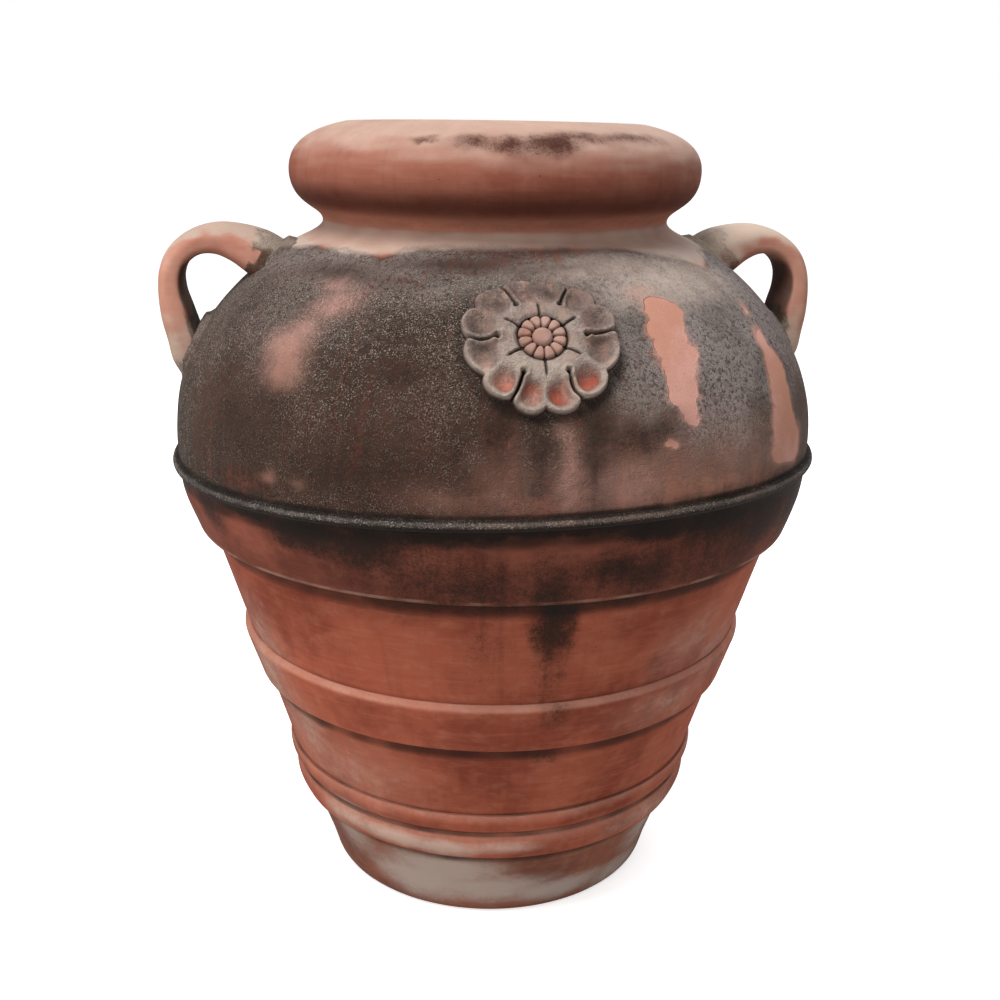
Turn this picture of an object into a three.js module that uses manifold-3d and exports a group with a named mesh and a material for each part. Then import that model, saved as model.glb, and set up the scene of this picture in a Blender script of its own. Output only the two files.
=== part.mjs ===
// Large terracotta oil jar with a rolled rim, two strap handles, a belt cord, raised
// bands and a six-petalled rosette. Lengths are millimetres, Z is up, and the origin
// is the middle of the resting face. The handles lie on X and the rosette faces -Y.

import * as THREE from 'three';
import { mergeVertices } from 'three/addons/utils/BufferGeometryUtils.js';
import Module from 'manifold-3d';

const wasm = await Module();
wasm.setup();

// Heights of the courses and bands, counted from the ground up
const FOOT_HEIGHT = 112;
const LOWER_BEAD_HEIGHT = 39;
const UPPER_BEAD_HEIGHT = 30;
const LOWER_WALL_HEIGHT = 109;
const MIDDLE_BAND_HEIGHT = 68;
const WAIST_HEIGHT = 145;
const UPPER_BAND_HEIGHT = 83;
const BELT_HEIGHT = 14;
const BELLY_HEIGHT = 258;
const SHOULDER_COURSE_HEIGHT = 86;
const NECK_HEIGHT = 20;
const RIM_HEIGHT = 122;

// Outer radii of the jar
const FOOT_RADIUS = 221;
const HEEL_RADIUS = 261;
const BELLY_RADIUS = 412;
const SHOULDER_RADIUS = 244;
const NECK_RADIUS = 219;
const RIM_RADIUS = 259;
const MOUTH_RADIUS = 178;

// Thickness of the clay
const FLOOR_THICKNESS = 36;
const HEEL_WALL = 33;
const WAIST_WALL = 26;
const BELLY_WALL = 32;
const FOOT_ROUNDING = 10;
const LIP_ROUNDING = 10;

// How far the bands and beads stand out from the wall behind them, and how far the
// waist wall's top lies inside the belly
const BEAD_PROUD = 10;
const GROOVE_PROUD = 3;
const BEAD_SWELL = 5;
const MIDDLE_BAND_PROUD = 8;
const UPPER_BAND_PROUD = 15;
const UPPER_BAND_SWELL = 5;
const UPPER_BAND_FULLEST = 0.55;
const BAND_ROUNDING = 3;
const BELT_PROUD = 8;
const WAIST_SETBACK = 8;

// Pull of the curves that shape the belly, the neck and the rim
const BELLY_LEAN = 11;
const BELLY_PULL = 150;
const SHOULDER_RUN = 43;
const SHOULDER_RISE = 19;
const NECK_SWEEP = 18;
const RIM_UNDERCUT = 43;
const RIM_FULLNESS = 37;
const RIM_CROWN_RUN = 40;
const RIM_CROWN_DROP = 8;

// Handles: where they meet the belly curve, how far each stands off, and the strap's size
const HANDLE_FOOT_CLIMB = 94;
const HANDLE_HEAD_DROP = 44;
const LEFT_HANDLE_REACH = 75;
const RIGHT_HANDLE_REACH = 68;
const STRAP_THICKNESS = 30;
const STRAP_WIDTH = 76;
const STRAP_SQUARENESS = 0.8;
const LUTE_FLARE = 10;
const LUTE_THICKNESS = 8;

// Rosette: its place on the belly curve and its size
const ROSETTE_CLIMB = 199;
const ROSETTE_RADIUS = 86;
const ROSETTE_HEIGHT = 11;
const PETALS = 6;
const PETAL_NOTCH = 8;
const PETAL_HOLLOW = 5;
const PETAL_FOLD = 0.7;
const PETAL_EDGE_HEIGHT = 8;
const CUP_RADIUS = 26;
const CUP_HEIGHT = 5;
const SEEDS = 12;
const SEED_LENGTH = 14;
const SEED_HEIGHT = 7;
const BUTTON_RADIUS = 10.8;
const BUTTON_HEIGHT = 9;

// Slip-filled joint between a piece and the curved wall it is luted to
const SLIP = 0.3;

// Fineness of the curves
const TURN_STEPS = 48;
const BELLY_STEPS = 14;
const ROUND_STEPS = 6;
const STRAP_SIDES = 14;
const LUTE_STEPS = 6;
const PETAL_ROWS = 6;
const PETAL_COLUMNS = 8;
const SEED_SIDES = 10;

const beadLevel = FOOT_HEIGHT;
const grooveLevel = beadLevel + LOWER_BEAD_HEIGHT;
const lowerWallLevel = grooveLevel + UPPER_BEAD_HEIGHT;
const middleBandLevel = lowerWallLevel + LOWER_WALL_HEIGHT;
const waistLevel = middleBandLevel + MIDDLE_BAND_HEIGHT;
const upperBandLevel = waistLevel + WAIST_HEIGHT;
const beltLevel = upperBandLevel + UPPER_BAND_HEIGHT;
const bellyLevel = beltLevel + BELT_HEIGHT;
const seatLevel = bellyLevel + BELLY_HEIGHT;
const neckLevel = seatLevel + NECK_HEIGHT;
const rimLevel = neckLevel + RIM_HEIGHT;

// Courses are joined where a band or bead hides and strengthens the joint
const middleJoint = (middleBandLevel + waistLevel) / 2;
const beltJoint = (beltLevel + bellyLevel) / 2;
const shoulderJoint = seatLevel - SHOULDER_COURSE_HEIGHT;
const neckBore = NECK_RADIUS - BELLY_WALL;
const waistRadius = BELLY_RADIUS - WAIST_SETBACK;

const { lerp, mapLinear } = THREE.MathUtils;
const point = (radius, level) => new THREE.Vector2(radius, level);

// Outside and inside of the plain wall from the ground to the belt
function wallRadius(level) {
  if (level < beadLevel) return mapLinear(level, 0, beadLevel, FOOT_RADIUS, HEEL_RADIUS);
  return mapLinear(level, beadLevel, beltJoint, HEEL_RADIUS, waistRadius);
}

function innerRadius(level) {
  const share = Math.max(0, (level - beadLevel) / (beltJoint - beadLevel));
  return wallRadius(level) - lerp(HEEL_WALL, WAIST_WALL, share);
}

// The belly and shoulder are one curve, from the belt to the seat of the neck
const bellyCurve = new THREE.CubicBezierCurve(
  point(BELLY_RADIUS, bellyLevel),
  point(BELLY_RADIUS + BELLY_LEAN, bellyLevel + BELLY_PULL),
  point(SHOULDER_RADIUS + SHOULDER_RUN, seatLevel - SHOULDER_RISE),
  point(SHOULDER_RADIUS, seatLevel),
);
const bellyLength = bellyCurve.getLength();

// A place on the belly: climb is the length up the curve, height the distance off it
function offBelly(climb, height) {
  const share = THREE.MathUtils.clamp(climb / bellyLength, 0, 1);
  const along = bellyCurve.getTangentAt(share);
  return bellyCurve.getPointAt(share).add(point(along.y, -along.x).multiplyScalar(height));
}

const bellyOutside = Array.from(
  { length: BELLY_STEPS + 1 },
  (_, step) => offBelly((bellyLength * step) / BELLY_STEPS, 0),
);
const bellyInside = bellyOutside
  .map((_, step) => offBelly((bellyLength * step) / BELLY_STEPS, -BELLY_WALL))
  .filter((place, step) => step > 0 && step % 2 === 0 && place.x > neckBore);

// The part of an outline that lies between two levels, cut square across
function between(outline, low, high) {
  const kept = [];
  outline.forEach((place, index) => {
    const last = outline[index - 1];
    for (const level of [low, high]) {
      if (last && last.y < level && place.y > level) {
        kept.push(last.clone().lerp(place, (level - last.y) / (place.y - last.y)));
      }
    }
    if (place.y >= low && place.y <= high) kept.push(place);
  });
  return kept;
}

// Merges shared corners and drops triangles that have collapsed, as at a lathe's poles
function closed(geometry) {
  const bare = geometry.clone();
  bare.deleteAttribute('normal');
  bare.deleteAttribute('uv');
  const merged = mergeVertices(bare, 1e-4);
  const kept = [];
  for (let i = 0; i < merged.index.count; i += 3) {
    const [a, b, c] = [0, 1, 2].map((corner) => merged.index.getX(i + corner));
    if (a !== b && b !== c && c !== a) kept.push(a, b, c);
  }
  merged.setIndex(kept);
  return merged;
}

function solidOf(geometry) {
  const merged = closed(geometry);
  const mesh = new wasm.Mesh({
    numProp: 3,
    vertProperties: new Float32Array(merged.attributes.position.array),
    triVerts: new Uint32Array(merged.index.array),
  });
  return new wasm.Manifold(mesh);
}

function geometryOf(solid) {
  const mesh = solid.getMesh();
  const geometry = new THREE.BufferGeometry();
  geometry.setAttribute('position', new THREE.BufferAttribute(mesh.vertProperties, 3));
  geometry.setIndex(new THREE.BufferAttribute(mesh.triVerts, 1));
  return geometry;
}

// A closed outline of radius and level, turned about the jar's axis
function turned(outline) {
  const loop = [...outline];
  if (loop[0].x > 0) loop.push(loop[0].clone());
  return new THREE.LatheGeometry(loop, TURN_STEPS).rotateX(Math.PI / 2);
}

const clay = {
  foot: { color: '#b58f80', roughness: 0.92 },
  lower: { color: '#a9563f', roughness: 0.86 },
  pale: { color: '#c08468', roughness: 0.88 },
  band: { color: '#8f4a38', roughness: 0.86 },
  belt: { color: '#3f3633', roughness: 0.78 },
  belly: { color: '#54453f', roughness: 0.9 },
  shoulder: { color: '#5d4d47', roughness: 0.9 },
  neck: { color: '#b2644b', roughness: 0.84 },
  handle: { color: '#c07a63', roughness: 0.86 },
  lute: { color: '#6d564a', roughness: 0.95 },
  rosette: { color: '#8d7368', roughness: 0.88 },
};

const jar = new THREE.Group();
jar.name = 'terracotta_oil_jar';

function add(name, geometry, finish) {
  const shape = closed(geometry);
  shape.computeVertexNormals();
  const mesh = new THREE.Mesh(shape, new THREE.MeshStandardMaterial({ ...finish, metalness: 0 }));
  mesh.name = name;
  jar.add(mesh);
  return mesh;
}

// Floor slab with a rounded heel, and the wall courses that stand on it
function addWalls() {
  const heel = Array.from({ length: ROUND_STEPS / 2 + 1 }, (_, step) => {
    const turn = (Math.PI / 2) * (step / (ROUND_STEPS / 2));
    const middle = wallRadius(FOOT_ROUNDING) - FOOT_ROUNDING;
    return point(middle + FOOT_ROUNDING * Math.sin(turn), FOOT_ROUNDING * (1 - Math.cos(turn)));
  });
  add('floor_slab', turned([
    point(0, 0),
    ...heel,
    point(wallRadius(FLOOR_THICKNESS), FLOOR_THICKNESS),
    point(0, FLOOR_THICKNESS),
  ]), clay.foot);

  const course = (name, low, high, finish, breaks = []) => {
    const levels = [low, ...breaks, high];
    add(name, turned([
      ...levels.map((level) => point(wallRadius(level), level)),
      ...levels.toReversed().map((level) => point(innerRadius(level), level)),
    ]), finish);
  };
  course('foot_wall', FLOOR_THICKNESS, grooveLevel, clay.foot, [beadLevel]);
  course('lower_wall', grooveLevel, middleJoint, clay.lower);
  course('waist_wall', middleJoint, beltJoint, clay.lower);

  add('belly_wall', turned([
    point(BELLY_RADIUS, beltJoint),
    ...between(bellyOutside, bellyLevel, shoulderJoint),
    ...between(bellyInside, bellyLevel, shoulderJoint).reverse(),
    point(innerRadius(beltJoint), beltJoint),
  ]), clay.belly);

  const inside = between(bellyInside, shoulderJoint, seatLevel);
  const highest = inside.at(-1);
  const slope = SHOULDER_RISE / SHOULDER_RUN;
  add('shoulder_wall', turned([
    ...between(bellyOutside, shoulderJoint, seatLevel),
    point(neckBore, seatLevel),
    point(neckBore, highest.y + (highest.x - neckBore) * slope),
    ...inside.reverse(),
  ]), clay.shoulder);
}

// Applied beads and bands, each pressed on over the wall
function addBands() {
  const bead = (name, low, high, lowProud, highProud) => {
    const outside = Array.from({ length: ROUND_STEPS + 1 }, (_, step) => {
      const share = step / ROUND_STEPS;
      const level = lerp(low, high, share);
      const swell = BEAD_SWELL * Math.sin(Math.PI * share);
      return point(wallRadius(level) + lerp(lowProud, highProud, share) + swell, level);
    });
    add(name, turned([
      ...outside,
      point(wallRadius(high) + SLIP, high),
      point(wallRadius(low) + SLIP, low),
    ]), clay.pale);
  };
  bead('lower_bead', beadLevel, grooveLevel, BEAD_PROUD, GROOVE_PROUD);
  bead('upper_bead', grooveLevel, lowerWallLevel, GROOVE_PROUD, GROOVE_PROUD);

  const low = wallRadius(middleBandLevel);
  const high = wallRadius(waistLevel);
  add('middle_band', turned([
    point(low + MIDDLE_BAND_PROUD - BAND_ROUNDING, middleBandLevel),
    point(low + MIDDLE_BAND_PROUD, middleBandLevel + BAND_ROUNDING),
    point(high + MIDDLE_BAND_PROUD, waistLevel - BAND_ROUNDING),
    point(high + MIDDLE_BAND_PROUD - BAND_ROUNDING, waistLevel),
    point(high + SLIP, waistLevel),
    point(low + SLIP, middleBandLevel),
  ]), clay.lower);

  const lip = wallRadius(upperBandLevel) + UPPER_BAND_PROUD;
  add('upper_band', turned([
    point(lip - BAND_ROUNDING, upperBandLevel),
    point(lip, upperBandLevel + BAND_ROUNDING),
    point(
      lerp(lip, BELLY_RADIUS, UPPER_BAND_FULLEST) + UPPER_BAND_SWELL,
      lerp(upperBandLevel, beltLevel, UPPER_BAND_FULLEST),
    ),
    point(BELLY_RADIUS, beltLevel),
    point(BELLY_RADIUS, beltJoint),
    point(wallRadius(beltJoint) + SLIP, beltJoint),
    point(wallRadius(upperBandLevel) + SLIP, upperBandLevel),
  ]), clay.band);

  const cord = Array.from({ length: ROUND_STEPS + 1 }, (_, step) => {
    const turn = Math.PI * (step / ROUND_STEPS);
    const back = BELLY_RADIUS + SLIP;
    return point(back + BELT_PROUD * Math.sin(turn), lerp(beltLevel, bellyLevel, (1 - Math.cos(turn)) / 2));
  });
  add('belt_cord', turned(cord), clay.belt);
}

// Neck collar and rolled rim
function addMouth() {
  const steps = (curve, count) => curve.getPoints(count);
  const rise = (SHOULDER_RADIUS - NECK_RADIUS) * (SHOULDER_RISE / SHOULDER_RUN);
  const hollow = new THREE.QuadraticBezierCurve(
    point(SHOULDER_RADIUS, seatLevel),
    point(NECK_RADIUS, seatLevel + Math.min(rise, NECK_HEIGHT)),
    point(NECK_RADIUS, neckLevel),
  );
  add('neck_collar', turned([
    ...steps(hollow, ROUND_STEPS - 1),
    point(neckBore, neckLevel),
    point(neckBore, seatLevel),
  ]), clay.neck);

  const widest = (neckLevel + rimLevel) / 2;
  const under = new THREE.CubicBezierCurve(
    point(NECK_RADIUS, neckLevel),
    point(NECK_RADIUS, neckLevel + NECK_SWEEP),
    point(RIM_RADIUS, widest - RIM_UNDERCUT),
    point(RIM_RADIUS, widest),
  );
  const lip = point(MOUTH_RADIUS + LIP_ROUNDING, rimLevel);
  const over = new THREE.CubicBezierCurve(
    point(RIM_RADIUS, widest),
    point(RIM_RADIUS, widest + RIM_FULLNESS),
    point(lip.x + RIM_CROWN_RUN, rimLevel - RIM_CROWN_DROP),
    lip,
  );
  const mouth = [1, 2, 3].map((step) => {
    const turn = (Math.PI / 2) * (step / 3);
    return point(lip.x - LIP_ROUNDING * Math.sin(turn), rimLevel - LIP_ROUNDING * (1 - Math.cos(turn)));
  });
  add('rim_roll', turned([
    ...steps(under, ROUND_STEPS),
    ...steps(over, ROUND_STEPS).slice(1),
    ...mouth,
    point(neckBore, neckLevel),
  ]), clay.neck);
}

// The space that the wall takes up, grown by the slip joint: what is luted on is cut to it
const wallSpace = solidOf(turned([
  point(0, beltJoint),
  point(BELLY_RADIUS + SLIP, beltJoint),
  ...bellyOutside.map((_, step) => offBelly((bellyLength * step) / BELLY_STEPS, SLIP)),
  point(0, seatLevel),
]));

// A strap swept through stations. Each gives the climb and height of its middle, and
// half the strap's thickness and half its width there.
function strap(stations, side) {
  const path = stations.map(({ climb, height }) => offBelly(climb, height));
  const corners = [];
  path.forEach((middle, index) => {
    const from = path[Math.max(0, index - 1)];
    const to = path[Math.min(path.length - 1, index + 1)];
    const along = to.clone().sub(from).normalize();
    const across = point(-along.y, along.x);
    for (let corner = 0; corner < STRAP_SIDES; corner += 1) {
      const turn = (2 * Math.PI * corner) / STRAP_SIDES;
      const square = (value) => Math.sign(value) * Math.abs(value) ** STRAP_SQUARENESS;
      const out = square(Math.cos(turn)) * stations[index].halfThickness;
      const wide = square(Math.sin(turn)) * stations[index].halfWidth;
      corners.push(side * (middle.x + across.x * out), side * wide, middle.y + across.y * out);
    }
  });
  const faces = [];
  const last = (path.length - 1) * STRAP_SIDES;
  for (let corner = 0; corner < STRAP_SIDES; corner += 1) {
    const next = (corner + 1) % STRAP_SIDES;
    for (let ring = 0; ring < last; ring += STRAP_SIDES) {
      const [a, b] = [ring + corner, ring + next];
      faces.push(a, b + STRAP_SIDES, b, a, a + STRAP_SIDES, b + STRAP_SIDES);
    }
    if (corner > 0 && next > 0) {
      faces.push(0, corner, next, last, last + next, last + corner);
    }
  }
  const geometry = new THREE.BufferGeometry();
  geometry.setAttribute('position', new THREE.Float32BufferAttribute(corners, 3));
  geometry.setIndex(faces);
  return geometry;
}

// Stations of a handle from its head on the shoulder to its foot on the belly: share of
// the way, share of the reach, and share of the strap's thickness and width
const HANDLE_SHAPE = [
  [0, -0.29, 1.95, 1.36],
  [0.06, 0.13, 1.9, 1.3],
  [0.132, 0.5, 1.53, 1.15],
  [0.209, 0.77, 1.25, 1.04],
  [0.308, 0.95, 1.04, 1],
  [0.418, 1, 1, 1],
  [0.516, 0.91, 1.03, 1.02],
  [0.604, 0.72, 1.13, 1.06],
  [0.692, 0.47, 1.33, 1.12],
  [0.791, 0.2, 1.4, 1.14],
  [0.901, 0, 1.33, 1.06],
  [1, -0.16, 0.93, 0.8],
];

function handleStations(reach) {
  return HANDLE_SHAPE.map(([way, off, thick, wide]) => ({
    climb: lerp(bellyLength - HANDLE_HEAD_DROP, HANDLE_FOOT_CLIMB, way),
    height: off * reach,
    halfThickness: (thick * STRAP_THICKNESS) / 2,
    halfWidth: (wide * STRAP_WIDTH) / 2,
  }));
}

// Clay smeared round a joint: a low mound on the belly from one climb to another
function mound(low, high, halfWidth, side) {
  const stations = Array.from({ length: LUTE_STEPS + 1 }, (_, step) => {
    const turn = Math.PI * ((step + 0.5) / (LUTE_STEPS + 1));
    const size = Math.sqrt(Math.sin(turn));
    return {
      climb: lerp(low, high, (1 - Math.cos(turn)) / 2),
      height: 0,
      halfThickness: LUTE_THICKNESS * size,
      halfWidth: halfWidth * size,
    };
  });
  return solidOf(strap(stations.reverse(), side));
}

function addHandle(name, side, reach) {
  const stations = handleStations(reach);
  const clearance = stations.map((station) => ({
    ...station,
    halfThickness: station.halfThickness + SLIP,
    halfWidth: station.halfWidth + SLIP,
  }));
  const strapSpace = solidOf(strap(clearance, side));
  add(`${name}_handle`, geometryOf(solidOf(strap(stations, side)).subtract(wallSpace)), clay.handle);

  const [head, , , shank] = stations;
  const headLute = mound(
    shank.climb - LUTE_FLARE,
    head.climb + head.halfThickness + LUTE_FLARE,
    head.halfWidth + LUTE_FLARE,
    side,
  );
  add(`${name}_handle_head_lute`, geometryOf(headLute.subtract(strapSpace).subtract(wallSpace)), clay.lute);

  const [ankle, , heel, , toe] = stations.slice(-5);
  const footLute = mound(
    toe.climb - LUTE_FLARE,
    ankle.climb + LUTE_FLARE,
    heel.halfWidth + LUTE_FLARE,
    side,
  );
  add(`${name}_handle_foot_lute`, geometryOf(footLute.subtract(strapSpace).subtract(wallSpace)), clay.lute);
}

// Bends a flat relief onto the belly: x runs round the jar, y climbs it, z stands off
function bentOntoBelly(geometry) {
  const places = geometry.attributes.position;
  for (let i = 0; i < places.count; i += 1) {
    const climb = ROSETTE_CLIMB + places.getY(i);
    const turn = places.getX(i) / offBelly(climb, 0).x;
    const place = offBelly(climb, places.getZ(i));
    places.setXYZ(i, place.x * Math.sin(turn), -place.x * Math.cos(turn), place.y);
  }
  return geometry;
}

// A relief with a top and a bottom over a grid of rows from the middle out. spot gives
// x, y and height of the top for a row and a column, each from 0 to 1.
function relief(rows, columns, depth, spot) {
  const corners = [];
  const wide = columns + 1;
  for (const isTop of [true, false]) {
    for (let row = 0; row <= rows; row += 1) {
      for (let column = 0; column <= columns; column += 1) {
        const [x, y, height] = spot(row / rows, column / columns);
        corners.push(x, y, isTop ? height : -depth);
      }
    }
  }
  const under = wide * (rows + 1);
  const faces = [];
  const quad = (a, b, c, d) => faces.push(a, b, c, a, c, d);
  for (let row = 0; row < rows; row += 1) {
    for (let column = 0; column < columns; column += 1) {
      const a = row * wide + column;
      quad(a, a + wide, a + wide + 1, a + 1);
      quad(under + a, under + a + 1, under + a + wide + 1, under + a + wide);
    }
    const [first, end] = [row * wide, row * wide + columns];
    quad(first, under + first, under + first + wide, first + wide);
    quad(end, end + wide, under + end + wide, under + end);
  }
  for (let column = 0; column < columns; column += 1) {
    const outer = rows * wide + column;
    quad(column, column + 1, under + column + 1, under + column);
    quad(outer, under + outer, under + outer + 1, outer + 1);
  }
  const geometry = new THREE.BufferGeometry();
  geometry.setAttribute('position', new THREE.Float32BufferAttribute(corners, 3));
  geometry.setIndex(faces);
  return geometry;
}

// A low dome from its base to its crown: share of the radius and share of the height
const DOME_SHAPE = [
  [0, 0],
  [0.94, 0],
  [1, 0.35],
  [0.72, 0.85],
  [0, 1],
];

function addRosette() {
  const inner = CUP_RADIUS + SLIP;
  const petal = (index) => relief(PETAL_ROWS, PETAL_COLUMNS, ROSETTE_HEIGHT, (out, round) => {
    const middle = Math.PI / 2 - (2 * Math.PI * index) / PETALS;
    const lobe = Math.cos(2 * Math.PI * round) ** 2;
    const edge = ROSETTE_RADIUS - PETAL_NOTCH * lobe;
    const radius = lerp(inner, edge, out);
    const margin = SLIP / radius;
    const half = Math.PI / PETALS - margin;
    const turn = middle + lerp(-half, half, round);
    const hollow = PETAL_HOLLOW * Math.sin(Math.PI * out) ** 2 * (1 - lobe * PETAL_FOLD);
    const rolled = lerp(ROSETTE_HEIGHT, PETAL_EDGE_HEIGHT, out ** 6);
    return [radius * Math.cos(turn), radius * Math.sin(turn), rolled - hollow];
  });
  for (let index = 0; index < PETALS; index += 1) {
    const whole = solidOf(bentOntoBelly(petal(index)));
    add(`rosette_petal_${index + 1}`, geometryOf(whole.subtract(wallSpace)), clay.rosette);
  }

  const disc = new THREE.CylinderGeometry(CUP_RADIUS, CUP_RADIUS, CUP_HEIGHT * 3, SEEDS * 2, 1)
    .rotateX(Math.PI / 2)
    .translate(0, 0, -CUP_HEIGHT / 2);
  add('rosette_cup', geometryOf(solidOf(bentOntoBelly(disc)).subtract(wallSpace)), clay.rosette);

  // Domes stand on the cup; a seed is drawn in towards the middle, as a wedge
  const dome = (radius, height, sides) => new THREE.LatheGeometry(
    DOME_SHAPE.map(([out, up]) => point(radius * out, height * up)),
    sides,
  ).rotateX(Math.PI / 2);
  const floor = CUP_HEIGHT + SLIP;
  add('rosette_button', bentOntoBelly(dome(BUTTON_RADIUS, BUTTON_HEIGHT, SEEDS).translate(0, 0, floor)),
    clay.rosette);
  const ring = BUTTON_RADIUS + 2 * SLIP + SEED_LENGTH / 2;
  for (let index = 0; index < SEEDS; index += 1) {
    const seed = dome(1, SEED_HEIGHT, SEED_SIDES);
    const places = seed.attributes.position;
    for (let i = 0; i < places.count; i += 1) {
      const out = ring + (places.getX(i) * SEED_LENGTH) / 2;
      const halfWidth = out * Math.tan(Math.PI / SEEDS) - SLIP;
      places.setXYZ(i, out, places.getY(i) * halfWidth, places.getZ(i));
    }
    seed.rotateZ((2 * Math.PI * (index + 0.5)) / SEEDS).translate(0, 0, floor);
    add(`rosette_seed_${String(index + 1).padStart(2, '0')}`, bentOntoBelly(seed), clay.rosette);
  }
}

addWalls();
addBands();
addMouth();
addHandle('left', -1, LEFT_HANDLE_REACH);
addHandle('right', 1, RIGHT_HANDLE_REACH);
addRosette();

export default jar;
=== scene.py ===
# %% [markdown]
# # A weathered terracotta oil jar
# This lesson dresses a jar whose pieces are already built at their real size. Each piece is
# made again here with a fine mesh, a hand-made unevenness and a fired-clay surface, and it
# rides on the frame in the place of the plain solid. The frame is loaded first, and the boxes
# of its nodes give the sizes. Nothing made here may grow past it.

# %% Load the frame
import math
from types import SimpleNamespace

import bmesh
import bpy
import numpy as np
from mathutils import Matrix, Vector, noise


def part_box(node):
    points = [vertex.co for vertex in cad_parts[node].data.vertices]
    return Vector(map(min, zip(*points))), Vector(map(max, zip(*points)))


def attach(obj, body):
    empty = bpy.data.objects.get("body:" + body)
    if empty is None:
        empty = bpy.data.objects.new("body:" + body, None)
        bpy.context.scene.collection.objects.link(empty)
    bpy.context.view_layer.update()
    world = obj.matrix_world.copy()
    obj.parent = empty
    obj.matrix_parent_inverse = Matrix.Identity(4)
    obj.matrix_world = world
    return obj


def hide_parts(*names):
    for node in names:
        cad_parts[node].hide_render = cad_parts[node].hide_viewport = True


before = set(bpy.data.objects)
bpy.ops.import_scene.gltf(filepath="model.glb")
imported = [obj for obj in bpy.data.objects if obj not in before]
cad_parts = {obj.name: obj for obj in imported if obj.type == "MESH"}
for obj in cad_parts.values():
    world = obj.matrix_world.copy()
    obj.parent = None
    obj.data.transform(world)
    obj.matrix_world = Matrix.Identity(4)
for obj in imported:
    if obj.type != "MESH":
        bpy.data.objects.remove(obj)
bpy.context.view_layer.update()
print("frame holds", len(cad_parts), "nodes")

# %% [markdown]
# ## Sizes
# The frame is in metres, but a potter thinks in millimetres, so all shapes below are in
# millimetres and are scaled once, when a mesh is made. Levels and radii are read from the
# boxes of the nodes, and only what a box can't tell is written as a number.

# %% Read the levels and radii of the jar
MM = 0.001


def low(node):
    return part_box(node)[0] / MM


def high(node):
    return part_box(node)[1] / MM


floor_top = high("floor_slab").z
bead_level = low("lower_bead").z
groove_level = high("lower_bead").z
lower_wall_level = high("upper_bead").z
middle_band_level = low("middle_band").z
waist_level = high("middle_band").z
middle_joint = high("lower_wall").z
upper_band_level = low("upper_band").z
belt_level = low("belt_cord").z
belt_joint = high("waist_wall").z
belly_level = high("belt_cord").z
shoulder_joint = high("belly_wall").z
seat_level = low("neck_collar").z
neck_level = high("neck_collar").z
rim_level = high("rim_roll").z
belly_radius = high("upper_band").x
waist_radius = high("waist_wall").x
shoulder_radius = high("neck_collar").x
rim_radius = high("rim_roll").x
print(f"jar is {rim_level:.0f} mm high and {2 * belly_radius:.0f} mm across the belly")

# %% Sizes that no box can tell
FOOT_RADIUS = 221
HEEL_RADIUS = 261
NECK_RADIUS = 219
MOUTH_RADIUS = 178
HEEL_WALL = 33
WAIST_WALL = 26
BELLY_WALL = 32
FOOT_ROUNDING = 10
LIP_ROUNDING = 10
BEAD_PROUD = 10
GROOVE_PROUD = 3
BEAD_SWELL = 5
MIDDLE_BAND_PROUD = 8
UPPER_BAND_PROUD = 15
UPPER_BAND_SWELL = 5
UPPER_BAND_FULLEST = 0.55
BELT_PROUD = 8
BELLY_LEAN = 11
BELLY_PULL = 150
SHOULDER_RUN = 43
SHOULDER_RISE = 19
NECK_SWEEP = 18
RIM_UNDERCUT = 43
RIM_FULLNESS = 37
RIM_CROWN_RUN = 40
RIM_CROWN_DROP = 8
ROSETTE_CLIMB = 199
ROSETTE_RADIUS = 86
neck_bore = NECK_RADIUS - BELLY_WALL
print(f"mouth is {2 * MOUTH_RADIUS} mm wide, foot {2 * FOOT_RADIUS} mm")

# %% [markdown]
# ## The camera
# The photograph was taken from about a metre above the ground, looking down a little, with
# the near handle on the left. The camera is set first, so that every later step can be
# judged in the photograph's own view. It stands a little to the left of the rosette.

# %% Place the camera
CAMERA_AZIMUTH = math.radians(-8.3)
CAMERA_DISTANCE = 1612 * MM
CAMERA_HEIGHT = 1008 * MM
CAMERA_PITCH = math.radians(17.44)
CAMERA_ROLL = math.radians(0.54)
LENS = 44.3
SENSOR = 36
SHIFT = 0.008
SHIFT_UP = -0.001

forward = Vector((
    -math.sin(CAMERA_AZIMUTH) * math.cos(CAMERA_PITCH),
    math.cos(CAMERA_AZIMUTH) * math.cos(CAMERA_PITCH),
    -math.sin(CAMERA_PITCH),
))
level_right = Vector((math.cos(CAMERA_AZIMUTH), math.sin(CAMERA_AZIMUTH), 0))
level_up = level_right.cross(forward)
right = level_right * math.cos(CAMERA_ROLL) + level_up * math.sin(CAMERA_ROLL)
up = level_up * math.cos(CAMERA_ROLL) - level_right * math.sin(CAMERA_ROLL)
camera = bpy.data.objects.new("camera", bpy.data.cameras.new("camera"))
camera.data.lens = LENS
camera.data.sensor_width = SENSOR
camera.data.shift_x = SHIFT
camera.data.shift_y = SHIFT_UP
turn = Matrix((right, up, -forward)).transposed().to_4x4()
stand = Vector((
    math.sin(CAMERA_AZIMUTH) * CAMERA_DISTANCE,
    -math.cos(CAMERA_AZIMUTH) * CAMERA_DISTANCE,
    CAMERA_HEIGHT,
))
camera.matrix_world = Matrix.Translation(stand) @ turn
bpy.context.scene.collection.objects.link(camera)
bpy.context.scene.camera = camera
print("camera stands at", [round(value, 3) for value in stand])

# %% [markdown]
# ## Curves
# A turned pot is an outline spun round an axis. The long sweeps of the belly, the neck and
# the rim could be drawn point by point from a profile gauge. Here a few pulls bend a whole
# curve, because that gives a sweep without bumps and is easy to change.
# Corners are softened with a short curve of their own, because fired clay has no knife edge.

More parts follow.
